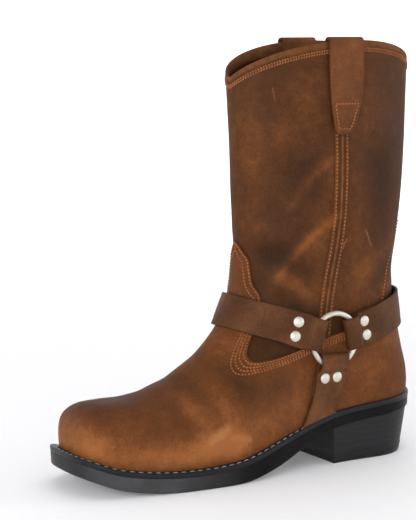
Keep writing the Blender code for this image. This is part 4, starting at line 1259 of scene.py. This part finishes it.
def pull_strap(side):
    """A loop of leather over the collar, sewn down outside and in."""
    radius = WALL / 2 + SEAM_BEAD / 2 + 0.5 + PULL_THICK / 2
    middle = (SEAM_BEAD - WALL) / 2
    rows = (248, 249, 250, 252, 254.5, 258, 261, 267, 274, 283, 292, 300)
    path = [(z, PULL_ON_STRIP) for z in rows] + [(308.0, middle + radius), (312.0, middle + radius)]
    for i in range(13):
        angle = math.pi * i / 12
        path.append((PULL_BEND + radius * math.sin(angle), middle + radius * math.cos(angle)))
    on_lining = -WALL - 2 * GAP - PULL_THICK / 2
    path += [(312.0, middle - radius), (308.0, middle - radius)] + [(z, on_lining) for z in rows[::-1]]
    path = np.array(path)
    ahead = unit(np.gradient(path, axis=0))
    face = np.stack([-ahead[:, 1], ahead[:, 0]], axis=1) * PULL_THICK
    z = path[:, :1] + face[:, :1] * SECTION[:, 1]
    high = path[:, 1:] + face[:, 1:] * SECTION[:, 1]
    wide = table_flow(PULL, 2, path[:, :1])
    fwd = table_flow(PULL, 1, path[:, :1]) + wide * SECTION[:, 0]
    point, normal = skin(side, fwd, np.minimum(z, SKIN_ENDS))
    point += normal * high[..., None]
    point[..., 2] += np.maximum(0, z - SKIN_ENDS)
    strap_piece(f"pull_strap_{SIDE_NAMES[side]}", point, material="pull")


for SIDE in (LATERAL, MEDIAL):
    pull_strap(SIDE)

# %% [markdown]
# ## Welt, outsole and heel

# %%
def plan_offset(ring_points, distance):
    """A ring of points moved outwards in plan."""
    around = np.roll(ring_points, -1, axis=0) - np.roll(ring_points, 1, axis=0)
    out = np.stack([around[:, 1], -around[:, 0]], axis=1)
    middle = ring_points[:, :2].mean(axis=0)
    out *= np.sign((out * (ring_points[:, :2] - middle)).sum())
    moved = ring_points.copy()
    moved[:, :2] += unit(out) * np.reshape(distance, (-1, 1))
    return moved


def at_height(ring_points, height):
    moved = ring_points.copy()
    moved[:, 2] = height
    return moved


def ring_at_welt_top():
    """The vamp's outline where it meets the top of the welt, evenly spaced."""
    rows = np.arange(60)
    points, _ = wall(level(rows, COLUMNS), [OVERLAY] * len(rows), COLUMNS)
    top = sole("top", points[0][:, 1])
    made = np.empty_like(points[0])
    for j in range(len(made)):
        made[j] = [np.interp(top[j], points[:, j, 2], points[:, j, i]) for i in range(3)]
    closed = np.concatenate([made, made[:1]])
    length = run_length(closed[:, :2])
    count = 420
    return along_line(length[-1] * np.arange(count) / count, length, closed)


def toe_of_sole(fwd, most):
    """How much larger the sole is towards its toe than the solids'."""
    return most * smooth_step(fwd, 218.0, 244.0)


FEATHER = ring_at_welt_top()
OUTLINE = plan_offset(FEATHER, sole("welt", FEATHER[:, 1]) + toe_of_sole(FEATHER[:, 1], TOE_WIDER))
for _ in range(3):
    OUTLINE = averaged(OUTLINE)
NARROWING = np.minimum(1.0, sole("welt", OUTLINE[:, 1]) / FULL_WELT)
# Distance out from the welt's edge, and height over the welt's top
WELT_SECTION = (
    (-3.4, 0.1),
    (-2.6, -0.25),
    (-1.9, -0.25),
    (-1.4, 0.0),
    (-1.0, -0.05),
    (-0.35, -0.45),
    (-0.05, -1.1),
    (0.0, -1.8),
    (-0.05, -3.5),
    (-0.3, 0.05 - WELT_THICK),
)


def sole_top(fwd):
    return sole("top", fwd) + toe_of_sole(fwd, TOE_HIGHER)


def over_sole(ring_points, high):
    return at_height(ring_points, sole_top(ring_points[:, 1]) + high)


def welt():
    """The strip that the upper is sewn to, with a bevelled upper edge."""
    inner = plan_offset(FEATHER, -0.6)
    rings = [over_sole(inner, -1.2), over_sole(inner, 0.15)]
    rings += [over_sole(plan_offset(OUTLINE, out * NARROWING), high) for out, high in WELT_SECTION]
    rings.append(over_sole(inner, GAP - WELT_THICK))
    points = np.array(rings)
    faces = grid_faces(len(points), points.shape[1], along=True)
    piece("welt", points, faces, MATERIALS["welt"], ("welt",))


def ladder(first, size):
    """Quads across a ring whose two sides run alike."""
    i = np.arange(1, size // 2 - 1)
    quads = np.stack([first + i, first + i + 1, first + size - i - 1, first + size - i], axis=1)
    half = size // 2
    ends = [(first, first + 1, first + size - 1), (first + half - 1, first + half, first + half + 1)]
    return [*quads, *ends]


def plate(name, rings, material):
    """A solid from rings stacked bottom to top, capped across at both ends."""
    rows, size = rings.shape[:2]
    lower = [tuple(face)[::-1] for face in ladder(0, size)]
    faces = [*grid_faces(rows, size), *lower, *ladder((rows - 1) * size, size)]
    made = piece(name, rings, faces, material, (name,))
    made.data.set_sharp_from_angle(angle=math.radians(40))


# Share of the way up the outsole's edge, and how far that level stands out
OUTSOLE_LEVELS = (
    (0.0, -2.0),
    (0.03, -1.2),
    (0.09, -0.75),
    (0.2, -0.55),
    (0.6, -0.4),
    (0.9, -0.3),
    (0.97, -0.3),
    (1.0, -0.55),
)


def outsole():
    rings = []
    for share, out in OUTSOLE_LEVELS:
        moved = plan_offset(OUTLINE, out)
        low = sole("bottom", moved[:, 1]) + toe_of_sole(moved[:, 1], TOE_HIGHER)
        high = sole_top(moved[:, 1]) - WELT_THICK
        rings.append(at_height(moved, low + (high - low) * share))
    plate("outsole", np.array(rings), MATERIALS["sole"])


def heel_ring(share_down, inset=0.0):
    """Outline of the heel at a level between its seat, 0, and the floor, 1."""
    outline = plan_offset(OUTLINE, -2.0)
    back = outline[:, 1].min()
    stations = 30
    turn = np.linspace(0, 1, stations + 1)
    fwd = back + (HEEL_BREAST - back) * (1 - np.cos(turn * math.pi / 2)) ** 0.9
    sides = []
    for side in (LATERAL, MEDIAL):
        path = outline[outline[:, 0] * side > 0]
        path = path[np.argsort(path[:, 1])]
        path = path[path[:, 1] < HEEL_BREAST + 20]
        x = np.interp(fwd, path[:, 1], path[:, 0])
        x[0] = 0
        sides.append(np.stack([x, fwd, np.zeros(len(fwd))], axis=1))
    breast = [sides[0][-1] + (sides[1][-1] - sides[0][-1]) * s for s in (0.03, 0.97)]
    made = np.concatenate([sides[0], breast, sides[1][:0:-1]])
    top = sole("bottom", made[:, 1]) - GAP
    made[:, 0] *= 1 - HEEL_TAPER * share_down
    lean, less = HEEL_LEAN
    made[:, 1] += share_down * (lean - less * (made[:, 1] - back) / (HEEL_BREAST - back))
    made[:, 2] = top * (1 - share_down)
    middle = np.array([0, (back + HEEL_BREAST) / 2])
    made[:, :2] -= unit(made[:, :2] - middle) * inset
    return made


LIFT_SHARE = 1 - LIFT_THICK / HEEL_HIGH
GROOVE = 0.012  # half of a groove between two layers, as a share of the heel's height
# Height, share of the way down and inset of each level of the lift
LIFT_LEVELS = (
    (0.0, 1.0, 1.0),
    (0.25, 1.0, 0.35),
    (0.9, 1.0, 0.0),
    (LIFT_THICK - 0.4, LIFT_SHARE, -0.05),
    (LIFT_THICK, LIFT_SHARE, 0.15),
)


def heel():
    """The stack, grooved between its layers, and the rubber lift under it."""
    rings = [heel_ring(-GROOVE / 2, 0.15), heel_ring(GROOVE)]
    for layer in (0.15, 0.3, 0.45, 0.6):
        rings += [heel_ring(layer - GROOVE), heel_ring(layer, 0.1), heel_ring(layer + GROOVE)]
    rings += [heel_ring(LIFT_SHARE - GROOVE), heel_ring(LIFT_SHARE, 0.3)]
    rings[-1][:, 2] = LIFT_THICK + 0.1
    plate("heel_stack", np.array(rings[::-1]), MATERIALS["stack"])
    lift = [at_height(heel_ring(share, inset), height) for height, share, inset in LIFT_LEVELS]
    plate("top_lift", np.array(lift), MATERIALS["lift"])


welt()
outsole()
heel()

# %% [markdown]
# ## Stitches

# %%
def stitch_source():
    """The hidden source of the stitches: thread 1 long along X, lying on Z = 0, thicker in its middle."""
    rings = []
    for at, thick in ((-0.5, 0.3), (-0.42, 0.75), (-0.2, 1.0), (0.2, 1.0), (0.42, 0.75), (0.5, 0.3)):
        sink = -1.0 * (abs(at) / 0.5) ** 3
        loop = [(at, thick * math.cos(a), thick * math.sin(a) + sink) for a in np.arange(7) * 2 * math.pi / 7]
        rings.append(loop)
    faces = [*grid_faces(6, 7)[:, ::-1], *caps(6, 7)[::-1]]
    mesh = smooth_mesh("stitch", np.array(rings).reshape(-1, 3), faces, MATERIALS["thread"])
    made = add_object("stitch", mesh)
    made.hide_render = made.hide_viewport = True
    return made


def stitch_nodes():
    """A node group that puts a stitch on each point, turned along its row, with a little variation."""
    tree = bpy.data.node_groups.new("stitches", "GeometryNodeTree")
    kinds = {"Geometry": "Geometry", "Stitch": "Object", "Material": "Material", "Seed": "Int"}
    for name in ("Geometry", "Stitch", "Material", "Length", "Thickness", "Variation", "Seed"):
        kind = kinds.get(name, "Float")
        tree.interface.new_socket(name, in_out="INPUT", socket_type=f"NodeSocket{kind}")
    tree.interface.new_socket("Geometry", in_out="OUTPUT", socket_type="NodeSocketGeometry")
    given = tree.nodes.new("NodeGroupInput").outputs
    ahead = add_node(tree, "GeometryNodeInputNamedAttribute", {"Name": "ahead"}, data_type="FLOAT_VECTOR")
    out = add_node(tree, "GeometryNodeInputNamedAttribute", {"Name": "out"}, data_type="FLOAT_VECTOR")
    turned = add_node(tree, "FunctionNodeAlignRotationToVector", {"Vector": ahead.outputs[0]}, axis="X")
    turn_inputs = {"Rotation": turned.outputs[0], "Vector": out.outputs[0]}
    turned = add_node(tree, "FunctionNodeAlignRotationToVector", turn_inputs, axis="Z", pivot_axis="X")
    low, high = (calc(tree, way, 1.0, given["Variation"]) for way in ("SUBTRACT", "ADD"))
    inputs = {2: low, 3: high, "Seed": given["Seed"]}
    size = add_node(tree, "FunctionNodeRandomValue", inputs, data_type="FLOAT")
    length = calc(tree, "MULTIPLY", given["Length"], size.outputs[1])
    sizes = {"X": length, "Y": given["Thickness"], "Z": given["Thickness"]}
    scale = add_node(tree, "ShaderNodeCombineXYZ", sizes).outputs[0]
    stitch = add_node(tree, "GeometryNodeObjectInfo", {"Object": given["Stitch"]}).outputs["Geometry"]
    inputs = {"Points": given["Geometry"], "Instance": stitch, "Rotation": turned.outputs[0], "Scale": scale}
    placed = add_node(tree, "GeometryNodeInstanceOnPoints", inputs).outputs[0]
    real = add_node(tree, "GeometryNodeRealizeInstances", {0: placed}).outputs[0]
    inputs = {"Geometry": real, "Material": given["Material"]}
    coloured = add_node(tree, "GeometryNodeSetMaterial", inputs).outputs[0]
    smooth = add_node(tree, "GeometryNodeSetShadeSmooth", {"Geometry": coloured}).outputs[0]
    tree.links.new(smooth, tree.nodes.new("NodeGroupOutput").inputs[0])
    return tree


STITCHES = stitch_nodes()


def spaced(points, normals, pitch, closed=False):
    """Points every pitch along a line, with the way ahead and the way out at each."""
    if closed:
        points, normals = np.concatenate([points, points[:1]]), np.concatenate([normals, normals[:1]])
    length = run_length(points)
    count = max(2, round(length[-1] / pitch))
    at = (np.arange(count) + 0.5) * length[-1] / count
    before, place, after = (along_line(at + off, length, points) for off in (-0.4, 0, 0.4))
    return place, after - before, unit(along_line(at, length, normals))


def stitch_piece(name, rows, material, size=(2.0, 0.62), pitch=2.5, variation=0.08, slant=0.0):
    """Rows of stitches as one piece. Each row is points, normals and whether it is closed."""
    sets = [spaced(points, normals, pitch, closed) for points, normals, closed in rows]
    points, ahead, out = (np.concatenate(part) for part in zip(*sets, strict=True))
    if slant:
        ahead = unit(ahead)
        ahead = ahead + np.cross(out, ahead) * slant
    mesh = bpy.data.meshes.new(name)
    flip = np.array([1.0, -1.0, 1.0])
    mesh.from_pydata((points * flip * MM).tolist(), [], [])
    for key, value in (("ahead", ahead), ("out", out)):
        layer = mesh.attributes.new(key, "FLOAT_VECTOR", "POINT")
        layer.data.foreach_set("vector", (value * flip).astype(np.float32).ravel())
    made = add_object(name, mesh)
    modifier = made.modifiers.new("stitches", "NODES")
    modifier.node_group = STITCHES
    long, thick = size
    values = {"Stitch": STITCH, "Material": material, "Variation": variation, "Seed": 7}
    values |= {"Length": long * MM, "Thickness": thick * MM}
    for item in STITCHES.interface.items_tree:
        if item.in_out == "INPUT" and item.name in values:
            modifier[item.identifier] = values[item.name]
    STITCH.hide_viewport = False
    graph = bpy.context.evaluated_depsgraph_get()
    made.data = bpy.data.meshes.new_from_object(made.evaluated_get(graph))
    STITCH.hide_viewport = True
    made.modifiers.clear()
    made.data.name = name
    rides(made)


STITCH = stitch_source()


def row_at_edge(side, distance, start, end, at_wing):
    """A row of stitches that follows the vamp's edge, a distance below it, and more at the wing."""
    around = np.arange(start, end, 0.8)
    distance = distance + at_wing * (1 - smooth_step(around, 20.0, 32.0))
    edge = table_flow(EDGE, 1, around)
    run = unit(np.stack([np.gradient(around), np.gradient(edge)], axis=1))
    around, edge = around + run[:, 1] * distance, edge - run[:, 0] * distance
    row, column = place_of(side, np.maximum(around, 0), edge)
    points, normals = raised(side, row, column, np.full(len(row), OVERLAY + THREAD_LIFT))
    return points, normals, False


def across_front(distance, end=168.0, start=0.0, at_wing=0.0):
    """A row below the vamp's edge on both sides, joined over the front where it starts there."""
    rows = [row_at_edge(side, distance, start, end, at_wing) for side in (LATERAL, MEDIAL)]
    if start > 0:
        return rows
    points = np.concatenate([rows[1][0][::-1], rows[0][0]])
    normals = np.concatenate([rows[1][1][::-1], rows[0][1]])
    keep = np.concatenate([[True], np.linalg.norm(np.diff(points, axis=0), axis=1) > 0.05])
    return [(points[keep], normals[keep], False)]


def collar_row(distance):
    """A closed row round the shaft, a distance below the collar's edge."""
    rows = np.linspace(0.9, 1, 40) * MASTER_ROWS
    places, ways = [], []
    for side in (LATERAL, MEDIAL):
        grid = np.repeat(rows[:, None], MASTER_COLUMNS + 1, axis=1)
        points = sample(side, "point", grid, np.broadcast_to(COLUMNS, grid.shape))
        length = np.linalg.norm(np.diff(points, axis=0), axis=2)[::-1].cumsum(axis=0)[::-1]
        length = np.concatenate([length, np.zeros((1, length.shape[1]))])
        row = np.array([np.interp(-distance, -length[:, c], rows) for c in COLUMNS])
        column = COLUMNS[None].astype(float)
        point, normal = raised(side, row[None], column, np.full((1, len(row)), THREAD_LIFT))
        places.append(point)
        ways.append(normal)
    return as_ring(*places)[0], as_ring(*ways)[0], True


def seam_row(side, offset):
    """A row of stitches up the side seam's strip."""
    z = np.arange(100.0, 306.0, 1.0)
    return *over_skin(side, table_flow(SIDE_SEAM, 1, z) + offset, z, SEAM_STRIP + THREAD_ON_STRAP), False


# fwd and height of the row of stitches behind the ankle
BACK_ROW = ((-33.0, 181.0), (-29.0, 173.3), (-19.7, 153.5), (-13.2, 138.1), (-9.5, 128.6), (-5.0, 113.0))


def back_row(side):
    points = np.array(BACK_ROW)
    z = np.arange(113.0, 181.0, 1.0)
    return *over_skin(side, flow(points[::-1, 1], points[::-1, 0], z), z, THREAD_LIFT), False


def pull_rows(side):
    """The box of stitches that holds a pull strap's lower end."""
    z_low, z_high, inset = 252.3, 270.5, 3.3
    z = np.linspace(z_low, z_high, 24)
    wide, middle = table_flow(PULL, 2, z), table_flow(PULL, 1, z)
    left = np.stack([middle + (wide / 2 - inset), z], axis=1)
    right = np.stack([middle - (wide / 2 - inset), z], axis=1)
    closed = np.concatenate([left, right[::-1], left[:1]])
    length = run_length(closed)
    loop = along_line(np.linspace(0, length[-1], 90)[:-1], length, closed)
    point, normal = skin(side, loop[:, 0], loop[:, 1])
    return point + normal * (PULL_ON_STRIP + PULL_THICK / 2 + THREAD_ON_STRAP), normal, True


def welt_row():
    """Welt stitches from one end of the heel's breast round the toe to the other."""
    points = over_sole(plan_offset(OUTLINE, -2.25 * NARROWING), -0.12)
    points = np.roll(points, -np.argmin(points[:, 1]), axis=0)
    points = points[points[:, 1] > 36.0]
    return points, np.tile([0.0, 0.0, 1.0], (len(points), 1)), False


THREAD, WELT_THREAD = MATERIALS["thread"], MATERIALS["welt_thread"]
EDGE_STITCHES = [*across_front(1.6), *across_front(3.7, at_wing=2.2)]
EDGE_STITCHES += [*across_front(5.8, 112.0, 26.0), *across_front(7.9, 112.0, 28.0)]
stitch_piece("stitches_vamp", EDGE_STITCHES, THREAD)
for NUMBER, BELOW, SLANT in ((1, 5.2, 1.0), (2, 6.9, -1.0)):
    COLLAR = [collar_row(BELOW)]
    stitch_piece(f"stitches_collar_{NUMBER}", COLLAR, THREAD, pitch=2.1, slant=SLANT)
SEAM_STITCHES = [seam_row(side, offset) for side in (LATERAL, MEDIAL) for offset in (-4.3, 4.3)]
SEAM_STITCHES += [back_row(side) for side in (LATERAL, MEDIAL)]
stitch_piece("stitches_seams", SEAM_STITCHES, THREAD, pitch=2.8)
PULL_STITCHES = [pull_rows(side) for side in (LATERAL, MEDIAL)]
stitch_piece("stitches_pull_straps", PULL_STITCHES, THREAD, pitch=2.6)
stitch_piece("stitches_welt", [welt_row()], WELT_THREAD, (4.6, 0.5), pitch=6.4, variation=0.05)

# %% [markdown]
# ## Stage, light and camera

# %%
def paper():
    """White paper that glows a little, more towards the rim, as a lit studio sweep does."""
    made, tree, shader, place = new_material("backdrop")
    shader.inputs["Base Color"].default_value = linear("#f6f6f8")
    shader.inputs["Roughness"].default_value = 0.7
    shader.inputs["Emission Color"].default_value = (1.0, 1.0, 1.0, 1.0)
    far = vector(tree, "LENGTH", {0: place}, "Value")
    tree.links.new(spread(tree, far, 0.4, 2.4, *SWEEP_GLOW), shader.inputs["Emission Strength"])
    return made


def backdrop():
    """A round floor whose rim curves up into a wall, so that every side of the boot has it behind."""
    line = [(0.001, 0.0), (0.4, 0.0), (0.9, 0.0), (1.5, 0.0), (FLOOR_REACH, 0.0)]
    for i in range(1, 11):
        angle = math.pi / 2 * i / 10
        line.append((FLOOR_REACH + 0.8 * math.sin(angle), 0.8 * (1 - math.cos(angle))))
    line.append((FLOOR_REACH + 0.8, 1.7))
    turn = 2 * math.pi * np.arange(72) / 72
    points = [(out * math.cos(a), out * math.sin(a), height) for out, height in line for a in turn]
    mesh = smooth_mesh("backdrop", np.array(points), grid_faces(len(line), len(turn)), paper())
    add_object("backdrop", mesh)


def light(name, place, target, size, power):
    lamp = bpy.data.lights.new(name, "AREA")
    lamp.shape = "RECTANGLE"
    lamp.size, lamp.size_y = size
    lamp.energy = power
    made = add_object(name, lamp)
    made.location = place
    made.rotation_euler = (Vector(target) - Vector(place)).to_track_quat("-Z", "Y").to_euler()


AZIMUTH, ELEVATION, ROLL = (math.radians(a) for a in (59.84, 7.32, -0.34))
TARGET = Vector((0.0, -0.0897, 0.150))
DISTANCE = 1.2993
FOCAL, CENTRE = 1739.4, (251.2, 266.5)  # pixels of a 416 x 520 picture
PICTURE = (416, 520)
FLOOR_REACH = 2.3
SWEEP_GLOW = (0.09, 0.55)
SENSOR = 36.0


def camera():
    """The camera that took the photograph, as solved from it."""
    level = math.cos(ELEVATION)
    back = Vector((math.sin(AZIMUTH) * level, -math.cos(AZIMUTH) * level, math.sin(ELEVATION)))
    right = (-back).cross(Vector((0, 0, 1))).normalized()
    up = right.cross(-back)
    cos, sin = math.cos(ROLL), math.sin(ROLL)
    matrix = Matrix((right * cos + up * sin, up * cos - right * sin, back)).transposed().to_4x4()
    matrix.translation = TARGET + back * DISTANCE
    data = bpy.data.cameras.new("camera")
    data.sensor_width = SENSOR
    data.lens = FOCAL * SENSOR / PICTURE[1]
    data.shift_x = -(CENTRE[0] - PICTURE[0] / 2) / PICTURE[1]
    data.shift_y = (CENTRE[1] - PICTURE[1] / 2) / PICTURE[1]
    made = add_object("camera", data)
    made.matrix_world = matrix
    bpy.context.scene.camera = made


backdrop()
light("key", (1.25, -1.55, 0.7), (0, -0.12, 0.10), (1.1, 0.8), 15)
light("toe", (-0.6, -1.8, 0.6), (0, -0.15, 0.10), (0.9, 0.7), 1)
light("top", (-0.3, 0.2, 1.9), (0, -0.1, 0.0), (1.6, 1.6), 9)
light("back", (0.5, 1.7, 0.9), (0, 0, 0.2), (1.0, 1.0), 5)
world = bpy.data.worlds.new("studio")
world.use_nodes = True
sky = world.node_tree.nodes["Background"].inputs
sky["Color"].default_value = linear("#ffffff")
sky["Strength"].default_value = 0.4
bpy.context.scene.world = world
bpy.context.scene.view_settings.view_transform = "Standard"
camera()
